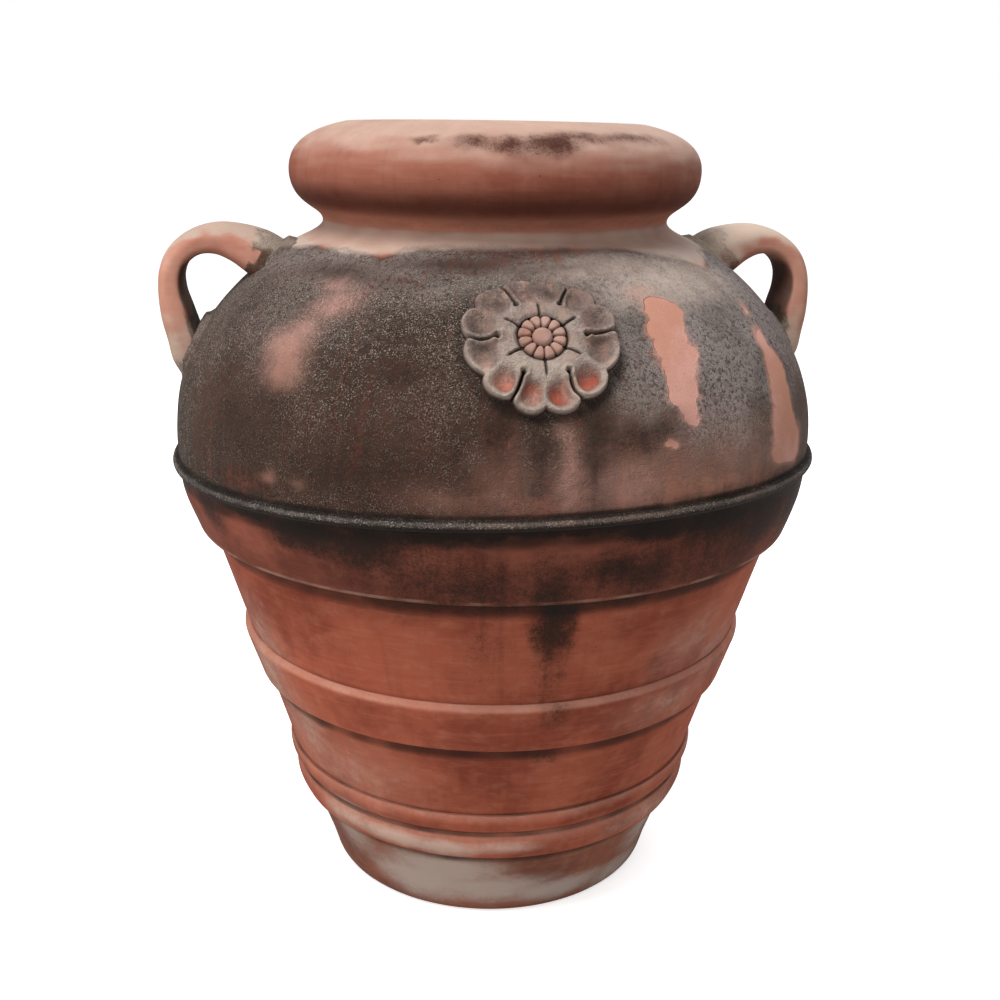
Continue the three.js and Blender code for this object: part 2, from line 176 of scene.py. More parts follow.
# %% Draw curves and soften corners
def curve(pulls, steps):
    share = np.linspace(0, 1, steps + 1)[:, None]
    points = [np.array(pull, float)[None, :] for pull in pulls]
    while len(points) > 1:
        points = [a * (1 - share) + b * share for a, b in zip(points, points[1:])]
    return points[0]


def softened(corners):
    """Corners are (radius, level) or (radius, level, rounding), as one closed outline."""
    outline = []
    for index, corner in enumerate(corners):
        here = np.array(corner[:2], float)
        rounding = corner[2] if len(corner) > 2 else 0
        if not rounding:
            outline.append(here)
            continue
        ends = []
        for other in (corners[index - 1], corners[(index + 1) % len(corners)]):
            way = np.array(other[:2], float) - here
            length = np.linalg.norm(way)
            ends.append(here + way / length * min(rounding, length / 2))
        outline.extend(curve([ends[0], here, ends[1]], 6))
    return np.array(outline)


def dense(line, step):
    """The same line with no stretch longer than a step."""
    kept = []
    for start, end in zip(line, line[1:]):
        pieces = max(1, math.ceil(np.linalg.norm(end - start) / step))
        kept.extend(start + (end - start) * part / pieces for part in range(pieces))
    return np.array([*kept, line[-1]])


print("a bend of three pulls has", len(curve([(0, 0), (1, 0), (1, 1)], 6)), "points")

# %% The wall and the belly as curves
def wall_radius(level):
    levels = [0, bead_level, belt_joint]
    return float(np.interp(level, levels, [FOOT_RADIUS, HEEL_RADIUS, waist_radius]))


def inner_radius(level):
    thickness = np.interp(level, [bead_level, belt_joint], [HEEL_WALL, WAIST_WALL])
    return wall_radius(level) - float(thickness)


belly_curve = curve([
    (belly_radius, belly_level),
    (belly_radius + BELLY_LEAN, belly_level + BELLY_PULL),
    (shoulder_radius + SHOULDER_RUN, seat_level - SHOULDER_RISE),
    (shoulder_radius, seat_level),
], 160)
belly_steps = np.diff(belly_curve, axis=0)
belly_climb = np.concatenate([[0], np.cumsum(np.hypot(*belly_steps.T))])
belly_length = belly_climb[-1]
belly_way = np.gradient(belly_curve, axis=0)
belly_way /= np.linalg.norm(belly_way, axis=1)[:, None]


def off_belly(climb, height):
    """A place at a length up the belly curve and a height off it, as radius and level."""
    radius, level, out, rise = (
        np.interp(climb, belly_climb, column)
        for column in (*belly_curve.T, *belly_way.T)
    )
    beyond = climb - np.clip(climb, 0, belly_length)
    return radius + out * beyond + rise * height, level + rise * beyond - out * height


widest = (neck_level + rim_level) / 2
lip_middle = MOUTH_RADIUS + LIP_ROUNDING
rim_under = curve([
    (NECK_RADIUS, neck_level), (NECK_RADIUS, neck_level + NECK_SWEEP),
    (rim_radius, widest - RIM_UNDERCUT), (rim_radius, widest),
], 40)
rim_over = curve([
    (rim_radius, widest), (rim_radius, widest + RIM_FULLNESS),
    (lip_middle + RIM_CROWN_RUN, rim_level - RIM_CROWN_DROP), (lip_middle, rim_level),
], 50)
rosette_radius, rosette_level = off_belly(ROSETTE_CLIMB, 0)
print(f"belly curve climbs {belly_length:.1f} mm, rosette sits at {rosette_level:.0f} mm")

# %% [markdown]
# ## Weather
# The jar stood outdoors, and its weather has a place: dark crust on the belly and shoulder,
# fresh clay where the crust flaked off, soot under the belt, and pale bloom on ridges and foot.
# The tops of the ledges are painted paler, as light falls on them, and painted shade lies in
# the grooves, under the ledges and the rim, and in the rosette's hollows. It could be painted
# by hand on the mesh. Here each kind is a field, a number from 0 to 1 on every point of the
# mesh, worked out from where the point is, so that it runs on unbroken over neighbouring
# pieces and can be made again at any fineness. The materials turn the fields into colour and
# give them ragged edges.
# A patch is an oval on the surface, and it is written as the azimuth in degrees from the
# jar's front, the level, half its width and height, how much it leans and how soft its edge
# is. A last number, where there is one, says how strong the patch is.

# %% Where the crust flaked off
# two tall scars on the right, a soft one on the left, a long worn one under the rosette, and
# a few smaller ones behind
FLAKED = [
    (26.4, 802, 26, 19, 0, 0.5), (25.4, 785, 28, 24, 0, 0.5), (24.6, 768, 27, 24, 0, 0.5),
    (24.0, 752, 25, 22, 0, 0.5), (23.7, 738, 21, 19, 0, 0.5), (23.7, 723, 20, 20, 0, 0.5),
    (24.2, 706, 13, 14, 0, 0.6), (23.2, 820, 20, 13, 20, 1.6, 0.36),
    (22, 628, 170, 36, 0, 2.2, 0.36), (30, 655, 120, 40, 0, 2.2, 0.3),
    (2.8, 650, 11, 70, 0, 1.8, 0.44), (-7, 632, 28, 44, 0, 2.0, 0.34),
    (14, 636, 44, 50, 0, 2.2, 0.4), (-14, 622, 60, 20, 0, 2.0, 0.32),
    (19.2, 676, 8, 7, 0, 0.8, 0.9), (52.8, 792, 9, 12, -15, 1.4, 0.56),
    (50.6, 757, 14, 24, -20, 0.8, 0.8), (50.6, 731, 25, 26, -10, 0.6),
    (49.2, 700, 27, 36, 0, 0.6), (48.4, 668, 33, 36, 0, 0.6),
    (48.8, 641, 44, 30, 0, 0.7, 0.85), (-43.6, 826, 24, 16, 0, 1.5, 0.3),
    (-41.2, 808, 32, 22, 20, 1.4, 0.36), (-45.4, 782, 26, 20, 0, 1.4, 0.34),
    (-47.2, 764, 34, 22, 0, 1.3, 0.41), (-45.6, 742, 30, 24, 0, 1.3, 0.41),
    (-44.6, 631, 13, 9, 0, 1.6, 0.44), (-38.3, 629, 10, 7, 0, 1.8, 0.4),
    (150, 770, 34, 26, 20, 0.5), (158, 742, 22, 20, 0, 0.4),
    (-140, 690, 26, 34, 0, 1.4, 0.5), (112, 690, 18, 30, 0, 0.4),
    (-168, 810, 24, 12, 0, 2.0, 0.5), (-105, 640, 26, 12, 0, 1.8, 0.5),
    (172, 640, 18, 10, 0, 1.4, 0.6),
]
print(len(FLAKED), "bare patches")

# %% Where the crust ends at the shoulder
# the azimuth, and the level up to which the crust climbs there
CRUST_TOP = [
    (-180, 852), (-150, 862), (-120, 848), (-84, 847), (-65, 858), (-47, 855), (-38, 856),
    (-28, 864), (-12, 866), (12, 866), (30, 862), (48, 845), (53, 836), (66, 848),
    (90, 846), (125, 860), (155, 846), (180, 852),
]
levels = [level for azimuth, level in CRUST_TOP]
print(f"the crust ends between {min(levels)} and {max(levels)} mm")

# %% Where the crust is thin
# mostly near the belt, where water ran down and stood
THIN_CRUST = [
    (26, 616, 230, 36, 0, 2.0, 0.8), (-6, 665, 20, 90, 0, 1.6, 0.5),
    (3, 650, 16, 90, 0, 1.8, 0.4), (-1, 612, 44, 24, 0, 1.4, 0.7),
    (18, 660, 70, 60, 0, 2.2, 0.6), (-50, 618, 60, 15, 0, 2.0, 0.62),
    (-66, 650, 30, 60, 0, 2.0, 0.36), (-60, 716, 26, 60, 0, 2.4, 0.34),
    (-22, 690, 60, 46, 0, 2.4, 0.3), (60, 690, 60, 90, 0, 1.8, 0.44),
    (5, 856, 160, 14, 0, 2.0, 0.5), (44, 832, 34, 24, 0, 2.0, 0.56),
    (16, 838, 60, 14, 0, 2.2, 0.4), (160, 625, 120, 34, 0, 1.0, 0.8),
    (-130, 620, 100, 26, 0, 1.0, 0.8),
]
print(len(THIN_CRUST), "patches of thin crust")

# %% Where soot and black stain lie
# on the crest of the rim, in clouds on the belly, and below the belt with two long runs down
SOOT = [
    (-10, 440, 26, 90, 0, 1.8, 0.3), (2, 440, 130, 70, 0, 2.4, 0.22),
    (-4, 236, 120, 50, 0, 2.4, 0.16), (-26, 690, 90, 60, 0, 2.4, 0.3),
    (-12, 645, 60, 50, 0, 2.4, 0.34), (-46, 700, 40, 60, 0, 2.4, 0.3),
    (-46, 838, 70, 13, 0, 2.0, 0.5), (-22, 850, 70, 11, 0, 2.0, 0.44),
    (8, 848, 60, 9, 0, 2.0, 0.36), (-62, 566, 30, 20, -20, 1.6, 0.8),
    (-50, 586, 40, 9, 0, 1.0), (-38, 572, 54, 20, 0, 1.2), (-28, 568, 50, 24, 0, 1.2),
    (-16, 583, 60, 12, 0, 1.0), (-6, 586, 90, 8, 0, 0.9), (8, 588, 90, 8, 0, 0.9),
    (18, 580, 60, 15, 0, 1.1), (29, 572, 60, 24, 0, 1.3), (42, 562, 60, 32, 0, 1.4),
    (56, 556, 60, 38, 0, 1.4), (72, 566, 60, 30, 0, 1.4), (-22, 540, 70, 44, 0, 2.6, 0.6),
    (-12, 526, 70, 30, 0, 1.8, 0.74), (1, 526, 30, 36, 0, 1.6, 0.8),
    (11, 542, 30, 16, 0, 1.6, 0.84), (16, 534, 60, 28, 0, 1.8, 0.78),
    (32, 534, 80, 44, 0, 2.2, 0.68), (2.4, 470, 25, 48, 0, 1.0, 0.92),
    (3.0, 420, 18, 54, 0, 2.2, 0.52), (-10, 498, 120, 10, 0, 2.0, 0.66),
    (4.6, 342, 16, 16, 0, 2.4, 0.56), (4, 276, 24, 13, 0, 2.2, 0.42),
    (18, 497, 70, 8, 0, 2.0, 0.62), (150, 568, 240, 28, 0, 1.4),
    (-120, 572, 220, 24, 0, 1.4), (170, 470, 20, 50, 0, 1.8, 0.8),
    (-112, 524, 90, 30, 0, 2.0, 0.7), (118, 524, 110, 30, 0, 2.0, 0.7),
    (-24, 749, 20, 12, 0, 2.6, 0.66), (-13, 980, 24, 9, 0, 2.0, 0.74),
    (-4, 976, 17, 13, 0, 1.6, 0.84), (7, 978, 27, 14, 0, 1.5, 0.88),
    (15, 984, 28, 9, 0, 2.0, 0.72), (31, 984, 44, 8, 0, 2.4, 0.64),
    (-27, 981, 12, 5, 0, 2.0, 0.6), (140, 985, 60, 14, 0, 2.2, 0.7),
    (-130, 990, 50, 12, 0, 2.2, 0.66), (-52, 680, 60, 40, 0, 2.4, 0.6),
    (-30, 650, 70, 36, 0, 2.4, 0.56), (15, 688, 40, 14, 12, 2.0, 0.66),
    (-8, 700, 14, 24, 0, 2.2, 0.62), (8, 700, 16, 26, 0, 2.2, 0.6),
    (-1.2, 672, 9, 58, 0, 1.6, 0.5), (6.6, 672, 9, 54, 0, 1.6, 0.5),
    (-13, 672, 8, 46, 0, 1.8, 0.4),
]
print(len(SOOT), "patches of soot")

# %% Where pale lime bloom lies
# on the foot and the beads, which stand in the damp, and on the shoulder, where rain dries
BLOOM = [
    (-34, 130, 46, 11, 0, 1.2, 0.95), (-20, 127, 40, 11, 0, 1.2, 0.9),
    (-50, 134, 40, 12, 0, 1.6, 0.7), (-5, 132, 40, 8, 0, 1.8, 0.66),
    (40, 132, 60, 14, 0, 2.0, 0.5), (-22, 76, 66, 26, 0, 1.2), (-30, 48, 60, 30, 0, 1.2),
    (-8, 44, 66, 22, 0, 1.2), (14, 30, 60, 15, 0, 1.3), (40, 20, 50, 18, 0, 1.4, 0.8),
    (48, 76, 30, 30, 30, 1.8, 0.7), (-54, 90, 30, 30, 0, 1.8, 0.62),
    (-50, 150, 30, 12, 0, 2.0, 0.6), (-66, 330, 40, 70, 0, 2.2, 0.5),
    (-60, 250, 40, 50, 0, 2.4, 0.45), (-46, 210, 70, 40, 0, 2.4, 0.34),
    (36, 402, 46, 34, 20, 2.2, 0.36), (48, 366, 40, 30, 20, 2.2, 0.4),
    (34, 322, 60, 26, 0, 2.2, 0.36), (14, 846, 110, 16, 0, 2.0, 0.34),
    (21, 846, 64, 22, 0, 2.0, 0.72), (36, 830, 80, 32, 0, 2.0, 0.95),
    (17, 708, 40, 30, 0, 2.0, 0.25), (24, 800, 90, 50, 0, 2.4, 0.2),
    (40, 640, 170, 44, 0, 2.2, 0.3), (6, 624, 50, 20, 0, 2.2, 0.2),
    (160, 60, 160, 50, 0, 1.4), (-130, 130, 70, 16, 0, 1.4),
    (130, 130, 90, 14, 0, 1.6, 0.8),
]
print(len(BLOOM), "patches of bloom")

# %% Where painted shadow lies in the grooves and under the ledges
# level of the groove, how far the painted shadow reaches down and up from it, how dark it is
GROOVE_SHADOWS = [
    (belt_level, 25, 3, 1.0), (belly_level, 3, 7, 1.0), (upper_band_level, 30, 0.5, 0.95),
    (middle_band_level, 24, 0.5, 0.9), (groove_level, 7, 5, 0.7),
    (lower_wall_level, 1, 5, 0.5), (bead_level, 22, 0.5, 0.9), (waist_level, 0.5, 4, 0.35),
]
print(len(GROOVE_SHADOWS), "grooves hold dirt")

# %% [markdown]
# ### From patches to fields
# A patch is laid on the jar's skin by its azimuth and level, so the skin's radius has to be
# known at every level. The bands and beads are thin, so a rough outline is enough. A patch
# must not soak through to the inside of the wall, so it fades with the depth below the skin.
# Its outline would be too smooth for flaked crust or soot, so for those two the places are
# stirred a little by clouds before they are looked up.

# %% Know the jar's radius at any level
BEAD_FULLEST = 12
BAND_SWELL = 6


def outside_radius(level):
    levels = np.concatenate([
        [0, bead_level, bead_level + BEAD_FULLEST, groove_level, upper_band_level, belt_level],
        belly_curve[:, 1], rim_under[:, 1], rim_over[1:, 1],
    ])
    radii = np.concatenate([
        [FOOT_RADIUS, HEEL_RADIUS, HEEL_RADIUS + BEAD_PROUD + BEAD_SWELL,
         wall_radius(groove_level) + GROOVE_PROUD, wall_radius(upper_band_level) + BAND_SWELL,
         belly_radius],
        belly_curve[:, 0], rim_under[:, 0], rim_over[1:, 0],
    ])
    return np.interp(level, levels, radii)


print(f"radius half way up is {outside_radius(rim_level / 2):.0f} mm")

# %% Tell how far inside a patch a place is
# the tightest bend of the outline that a patch is bent round, in mm
TIGHTEST = 200
# a patch is whole down to the first depth below the skin and gone at the second, in mm
SOAKED, DRY = 10, 16
# overlapping patches join as their highest does, but without a crease between them
UNION = 4


def ramp(value, start, end):
    """A soft step: 0 before the start, 1 after the end."""
    share = np.clip((value - start) / (end - start), 0, 1)
    return share * share * (3 - 2 * share)


def clouds(places, size, seed=0):
    """Smooth noise from about -1 to 1, in blots about as many mm wide as size says."""
    return np.array([noise.noise(Vector(place) / size + Vector((seed, 0, 0)))
                     for place in places])


def patches(places, ovals):
    """How far inside the ovals each place is: 1 well inside, 0.5 at an edge, 0 outside."""
    total = np.zeros(len(places))
    for azimuth, level, half_width, half_height, lean, soft, *rest in ovals:
        angle = math.radians(azimuth)
        east = np.array([math.cos(angle), math.sin(angle), 0])
        near, far = outside_radius(level + 1), outside_radius(level - 1)
        climb = np.array([math.sin(angle) * (near - far), -math.cos(angle) * (near - far), 2])
        climb /= np.linalg.norm(climb)
        middle = outside_radius(level)
        centre = np.array([math.sin(angle) * middle, -math.cos(angle) * middle, level])
        steps = places - centre
        across, along = steps @ east, steps @ climb
        tilt = math.radians(lean)
        wide = (across * math.cos(tilt) + along * math.sin(tilt)) / half_width
        tall = (along * math.cos(tilt) - across * math.sin(tilt)) / half_height
        reach = np.hypot(wide, tall)
        sunk = np.abs(steps @ np.cross(east, climb))
        sunk -= across ** 2 / (2 * middle) + along ** 2 / (2 * TIGHTEST)
        share = np.clip(0.5 + (1 - reach) / soft, 0, 1) * ramp(sunk, DRY, SOAKED)
        total += (share * (rest[0] if rest else 1)) ** UNION
    return np.minimum(total ** (1 / UNION), 1)


print("at a lone patch's middle:", patches(np.array([(0, -outside_radius(700), 700.0)]),
                                      [(0, 700, 20, 20, 0, 1.0)]).round(2))

# %% Stir a place, and bleach the crust
# clouds of the first size in mm move a place by up to about the second
STIR = ((24, 9), (8, 5))


def stirred(places):
    """Places moved by a few mm, so that a patch's outline turns ragged."""
    moves = [sum(reach * clouds(places, size, seed + step) for step, (size, reach) in
                 enumerate(STIR)) for seed in (11, 13)]
    return places + np.column_stack([moves[0], 0 * moves[0], moves[1]])


def crust_grey(azimuth, level, blotch):
    """The crust bleaches to grey on the right, on the shoulder, and behind."""
    grey = np.maximum.reduce([
        ramp(azimuth, 2, 24) * ramp(110 - azimuth, 0, 40),
        0.24 * ramp(-azimuth, 20, 50) * ramp(level, 690, 800),
        0.6 * ramp(level, 790, 850),
        ramp(np.abs(azimuth), 120, 150) * (0.5 + blotch),
    ])
    return np.clip(grey * ramp(level + 60 * blotch, 650, 720), 0, 1)


print("stirring moves the front of the belly to", stirred(np.array([(0, -420.0, 640.0)]))[0])

# %% Work out the six fields
# how wide the painted shadow lies round the rosette's edge, and over what height below it it
# grows, in mm
SHADOW_WIDTH = 6
ROSETTE_SHADE = 70


def weather(places):
    """The six fields of each place. The inside of the wall, deep below the skin, stays clean."""
    x, y, level = places.T
    azimuth = np.degrees(np.arctan2(x, -y))
    outside = ramp(np.hypot(x, y) - outside_radius(level), -24, -14)
    wander, blotch = clouds(places, 34), clouds(places, 90, 7)
    ragged = stirred(places)

    top = np.interp(azimuth, *np.array(CRUST_TOP, float).T)
    crust = ramp(top - level + 6 * wander, -5, 8) * ramp(level, belt_level - 4, belt_level)
    crust *= 1 - patches(places, THIN_CRUST)

    seat = ramp(level, top - 6, top + 3) * ramp(neck_level + 10 - level, 0, 16)
    bloom = np.maximum(patches(places, BLOOM), (0.95 + 0.5 * wander) * seat)

    # painted shade below the ledges and in the grooves, and a painted shadow under the rosette's
    # lower edge
    shade_and_dirt = np.zeros(len(places))
    for groove, down, up, strength in GROOVE_SHADOWS:
        side = np.where(level < groove, down, up)
        shade_and_dirt = np.maximum(shade_and_dirt, strength * ramp(1 - np.abs(level - groove) / side, 0, 0.6))
    from_rosette = np.linalg.norm(places - (0, -rosette_radius, rosette_level), axis=1)
    rosette_shadow = np.exp(-((from_rosette - ROSETTE_RADIUS - 1) / SHADOW_WIDTH) ** 2)
    rosette_shadow *= ramp(rosette_level + 30 - level, 0, ROSETTE_SHADE)
    return {
        "crust": np.clip(crust, 0, 1) * outside,
        "grey": crust_grey(azimuth, level, blotch),
        "flaked": patches(ragged, FLAKED) * outside,
        "soot": patches(ragged, SOOT) * outside,
        "bloom": bloom * outside,
        "shade_and_dirt": np.maximum(shade_and_dirt, 0.7 * rosette_shadow) * outside * (0.86 + 0.5 * wander),
    }


def cleared(fields, *names):
    """Keeps some kinds of weather off a piece."""
    for name in names:
        fields[name] = np.zeros_like(fields[name])


print("fields:", *weather(np.array([(0, -420.0, 640.0)])))

# %% [markdown]
# ## Making a mesh into a piece
# Every piece takes the same road: its points are moved a little, as hand pressure leaves
# them, then the mesh gets its fields, its smooth shading and its place on the frame. The
# unevenness could be sculpted. It is a formula of where a point is, so that neighbours stay
# in touch. It is always inward, because the finished jar may not grow past the solids it
# stands for.
# The belt was pressed on by eye, so it climbs at the front and sinks at the sides, and the
# rim sinks a little towards the back right.

# %% Let the belt and the rim sway
# each wave of the belt: its size in mm, how many times it goes round, its phase in degrees
BELT_SWAY = ((6.9, 1, 25), (5.5, 2, 17.6))
BELT_SAG = -2.2
# how far above and below the belt its sway still moves the wall, in mm
BELT_STIR = 84
RIM_SAG = 5
RIM_SAG_TURN = math.radians(20)
RIM_SAG_DEPTH = 70


def swayed(places):
    x, y, level = places.T
    azimuth = np.arctan2(x, -y)
    climb = BELT_SAG + sum(size * np.cos(waves * azimuth - math.radians(phase))
                           for size, waves, phase in BELT_SWAY)
    near_belt = ramp(BELT_STIR - np.abs(level - belt_joint), 0, BELT_STIR - 8)
    sag = RIM_SAG * (1 - np.cos(azimuth + RIM_SAG_TURN))
    sag *= ramp(level, rim_level - RIM_SAG_DEPTH, rim_level)
    return np.column_stack([x, y, level + climb * near_belt - sag])


front = swayed(np.array([(0, -belly_radius, belt_joint)]))[0, 2]
print(f"the belt climbs {front - belt_joint:.1f} mm at the front")

# %% Press the clay by hand
# how many mm the wall is out of round, and how deep the dents of the fingers are
SWAY = 0.9
DENT = 0.5


def pressed(places):
    x, y, level = places.T
    azimuth = np.arctan2(x, -y)
    sway = np.sin(2 * azimuth + level / 310) + 0.6 * np.sin(3 * azimuth - level / 170 + 1)
    dents = np.array([noise.noise(Vector((a, b, c * 1.6)) / 46) for a, b, c in places])
    inward = SWAY * (1 + sway / 1.6) / 2 + DENT * (1 + dents) / 2
    radius = np.maximum(np.hypot(x, y), 1e-6)
    keep = 1 - inward * ramp(radius, 60, 150) / radius
    return np.column_stack([x * keep, y * keep, level])


inward = belly_radius - np.hypot(*pressed(np.array([(0, -belly_radius, 600.0)]))[0, :2])
print(f"the hand pressed the front of the belly in by {inward:.1f} mm")


# %% Build a piece on the frame
# a fold sharper than this keeps its edge; points and slivers closer than these mm are joined
SHARP = math.radians(38)
WELD = 0.002
SLIVER = 0.001


def piece(name, places, faces, nodes, material, uneven=True, dress=None):
    """dress may change the fields, given the places and the way the surface faces there."""
    if uneven:
        places = pressed(places)
    mesh = bpy.data.meshes.new(name)
    mesh.from_pydata((swayed(places) * MM).tolist(), [], faces)
    mesh.update()
    ways = np.empty(len(places) * 3)
    mesh.vertex_normals.foreach_get("vector", ways)
    fields = weather(places)
    if dress:
        dress(fields, places, ways.reshape(-1, 3))
    for field, values in fields.items():
        stored = mesh.attributes.new(field, "FLOAT", "POINT")
        stored.data.foreach_set("value", np.clip(values, 0, 1))
    bm = bmesh.new()
    bm.from_mesh(mesh)
    bmesh.ops.remove_doubles(bm, verts=bm.verts, dist=WELD * MM)
    bmesh.ops.dissolve_degenerate(bm, edges=bm.edges, dist=SLIVER * MM)
    bm.to_mesh(mesh)
    bm.free()
    mesh.shade_smooth()
    mesh.set_sharp_from_angle(angle=SHARP)
    thing = bpy.data.objects.new(name, mesh)
    bpy.context.scene.collection.objects.link(thing)
    thing.data.materials.append(material)
    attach(thing, "root")
    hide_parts(*nodes)
    print(f"{name}: {len(mesh.vertices)} points")
    return thing


# %% Join a grid of points with faces
def grid_faces(rows, columns, wrap_rows=False, wrap_columns=True):
    row = np.arange(rows if wrap_rows else rows - 1)[:, None]
    column = np.arange(columns if wrap_columns else columns - 1)[None, :]
    beside = (column + 1) % columns
    above = (row + 1) % rows
    corners = [row * columns + column, row * columns + beside,
               above * columns + beside, above * columns + column]
    return np.stack(corners, axis=-1).reshape(-1, 4).tolist()


print("an open grid of 3 by 4 points has", len(grid_faces(3, 4, False, False)), "faces")

# %% [markdown]
# ## Fired clay
# Terracotta is an iron-rich earthenware, fired once and never glazed. It tells the eye three
# things: a warm body that shifts between orange and brown, fine horizontal marks from the
# turning, and a dry skin with almost no shine. On top of it lies the weather: a gritty dark
# crust of soot, lichen and lime, with light grains in it, and pale lime bloom.
# Photographs could be wrapped round the jar, but they stretch and show seams. Here one recipe
# of noises and fields makes the whole surface, and the finishes differ in clay and grit.
# Colours are written as on a screen, and one function turns them into light.

# %% Turn written colours into linear ones
def linear(code):
    parts = [int(code[place:place + 2], 16) / 255 for place in (1, 3, 5)]
    straight = [part / 12.92 if part <= 0.04045 else ((part + 0.055) / 1.055) ** 2.4
                for part in parts]
    return (*straight, 1)


print("mid grey as light:", round(linear("#808080")[0], 3))

# %% Add a node with its settings and links
def add(tree, kind, settings, inputs, output=0):
    node = tree.nodes.new(kind)
    for key, value in settings.items():
        setattr(node, key, value)
    for key, value in inputs.items():
        if isinstance(value, bpy.types.NodeSocket):
            tree.links.new(value, node.inputs[key])
        else:
            node.inputs[key].default_value = value
    return node.outputs[output]


# %% [markdown]
# ### Patterns with a real size
# Each mark on fired clay has its own size, from sand to the clouds that a kiln leaves. Noises
# are scaled in millimetres and placed in the jar's own space, so that they neither stretch
# at the rim nor break between two pieces. Turning leaves ridges that are long and low, so
# their noise is flattened. Rain leaves streaks, and for these the place is drawn onto a
# round post first, so that a streak runs straight down the belly's curve.

# %% Make clouds, grains and streaks
RAIN_STRETCH = 0.07


def grain(tree, size, detail, flat, seed):
    """Cloudy pattern whose blots are about size millimetres wide, flattened by flat."""
    place = add(tree, "ShaderNodeTexCoord", {}, {}, "Object")
    place = add(tree, "ShaderNodeMapping", {}, {
        "Vector": place, "Location": (seed, seed, seed), "Scale": (1, 1, flat),
    })
    return add(tree, "ShaderNodeTexNoise", {}, {
        "Vector": place, "Scale": 0.5 / (size * MM), "Detail": detail, "Roughness": 0.6,
    })


def rain(tree, width, seed):
    """Streaks that run down the jar, about width millimetres wide."""
    place = add(tree, "ShaderNodeTexCoord", {}, {}, "Object")
    flat = add(tree, "ShaderNodeVectorMath", {"operation": "MULTIPLY"},
               {0: place, 1: (1, 1, 0)})
    post = add(tree, "ShaderNodeVectorMath", {"operation": "NORMALIZE"}, {0: flat})
    post = add(tree, "ShaderNodeVectorMath", {"operation": "SCALE"},
               {0: post, "Scale": belly_radius * MM})
    fall = add(tree, "ShaderNodeVectorMath", {"operation": "MULTIPLY_ADD"},
               {0: place, 1: (0, 0, RAIN_STRETCH), 2: post})
    shift = add(tree, "ShaderNodeVectorMath", {"operation": "ADD"},
                {0: fall, 1: (seed, seed, seed)})
    return add(tree, "ShaderNodeTexNoise", {}, {
        "Vector": shift, "Scale": 0.5 / (width * MM), "Detail": 3, "Roughness": 0.6,
    })


print(f"streaks are about {1 / RAIN_STRETCH:.0f} times longer than wide")

# %% [markdown]
# ### Coats of colour
# A restorer would tone the jar with thin coats. A coat here is a colour mixed over another by
# a share, which says where and how strongly it lies. The share can be a field, the grains of
# a pattern beyond a threshold, or both. A layer of weather is a thin even veil, and ragged
# patches in it, whose edges the patterns break up: a smooth edge would look airbrushed.

# %% Lay coats where a pattern says
def beyond(tree, *limits):
    """Where all patterns are beyond their thresholds: each (pattern, start, end, most)."""
    share = None
    for pattern, start, end, *most in limits:
        grains = add(tree, "ShaderNodeMapRange", {"interpolation_type": "SMOOTHSTEP"}, {
            "Value": pattern, "From Min": start, "From Max": end,
            "To Max": most[0] if most else 1.0,
        })
        share = grains if share is None else add(
            tree, "ShaderNodeMath", {"operation": "MULTIPLY"}, {0: share, 1: grains})
    return share


def coat(tree, under, over, share, strength=1.0):
    """One colour over another, where and as strongly as the share says."""
    share = add(tree, "ShaderNodeMath", {"operation": "MULTIPLY"}, {0: share, 1: strength})
    return add(tree, "ShaderNodeMix", {"data_type": "RGBA"}, {0: share, 6: under, 7: over}, 2)


def dabbed(tree, colour, dabs):
    """Coats one over another, each (colour, pattern, start, end, most)."""
    for over, *limit in dabs:
        colour = coat(tree, colour, over, beyond(tree, limit))
    return colour


# %% Lay layers with ragged edges
def cover(tree, field, patterns, edge, *limits):
    """Where a layer lies: the field decides, and the patterns make its edge ragged."""
    mixed, middle = field, 0.5
    for pattern, reach in patterns:
        mixed = add(tree, "ShaderNodeMath", {"operation": "MULTIPLY_ADD"},
                    {0: pattern, 1: reach, 2: mixed})
        middle += 0.5 * reach
    return beyond(tree, (mixed, middle - edge, middle + edge),
                  (field, 0.02, 0.14 + 0.42 * edge), *limits)


def layer(tree, under, over, field, patterns, edge, veil, solid):
    """A layer of weather: a thin even veil, and ragged patches within it."""
    veiled = coat(tree, under, over, field, veil)
    return coat(tree, veiled, over, cover(tree, field, patterns, edge), solid)


# %% [markdown]
# ### The clay itself
# A fired body isn't one colour. The kiln's draught leaves clouds, slip and wear leave
# mottles, turning leaves ridges, and sand gives a fine grain. Burnt-out straw and stones
# leave pits. Real sand is about 0.3 mm, too fine to show from where the camera stands, so it
# is drawn at 0.8 mm. The other sizes are as they are on such a jar.

# %% Choose the sizes of the patterns
# each pattern: its size in mm, how detailed, how many times flatter than wide, its seed
PATTERNS = {
    "cloud": (60, 4, 1, 1), "mottle": (14, 5, 1.6, 2), "marks": (34, 4, 16, 3),
    "sand": (0.8, 2, 1, 4), "stain": (7, 5, 1.5, 5), "grit": (2.4, 3, 1, 6),
}
STREAK_WIDTH = 9
PIT_SPACING = 30
print("patterns in mm:", {name: size for name, (size, *rest) in PATTERNS.items()})


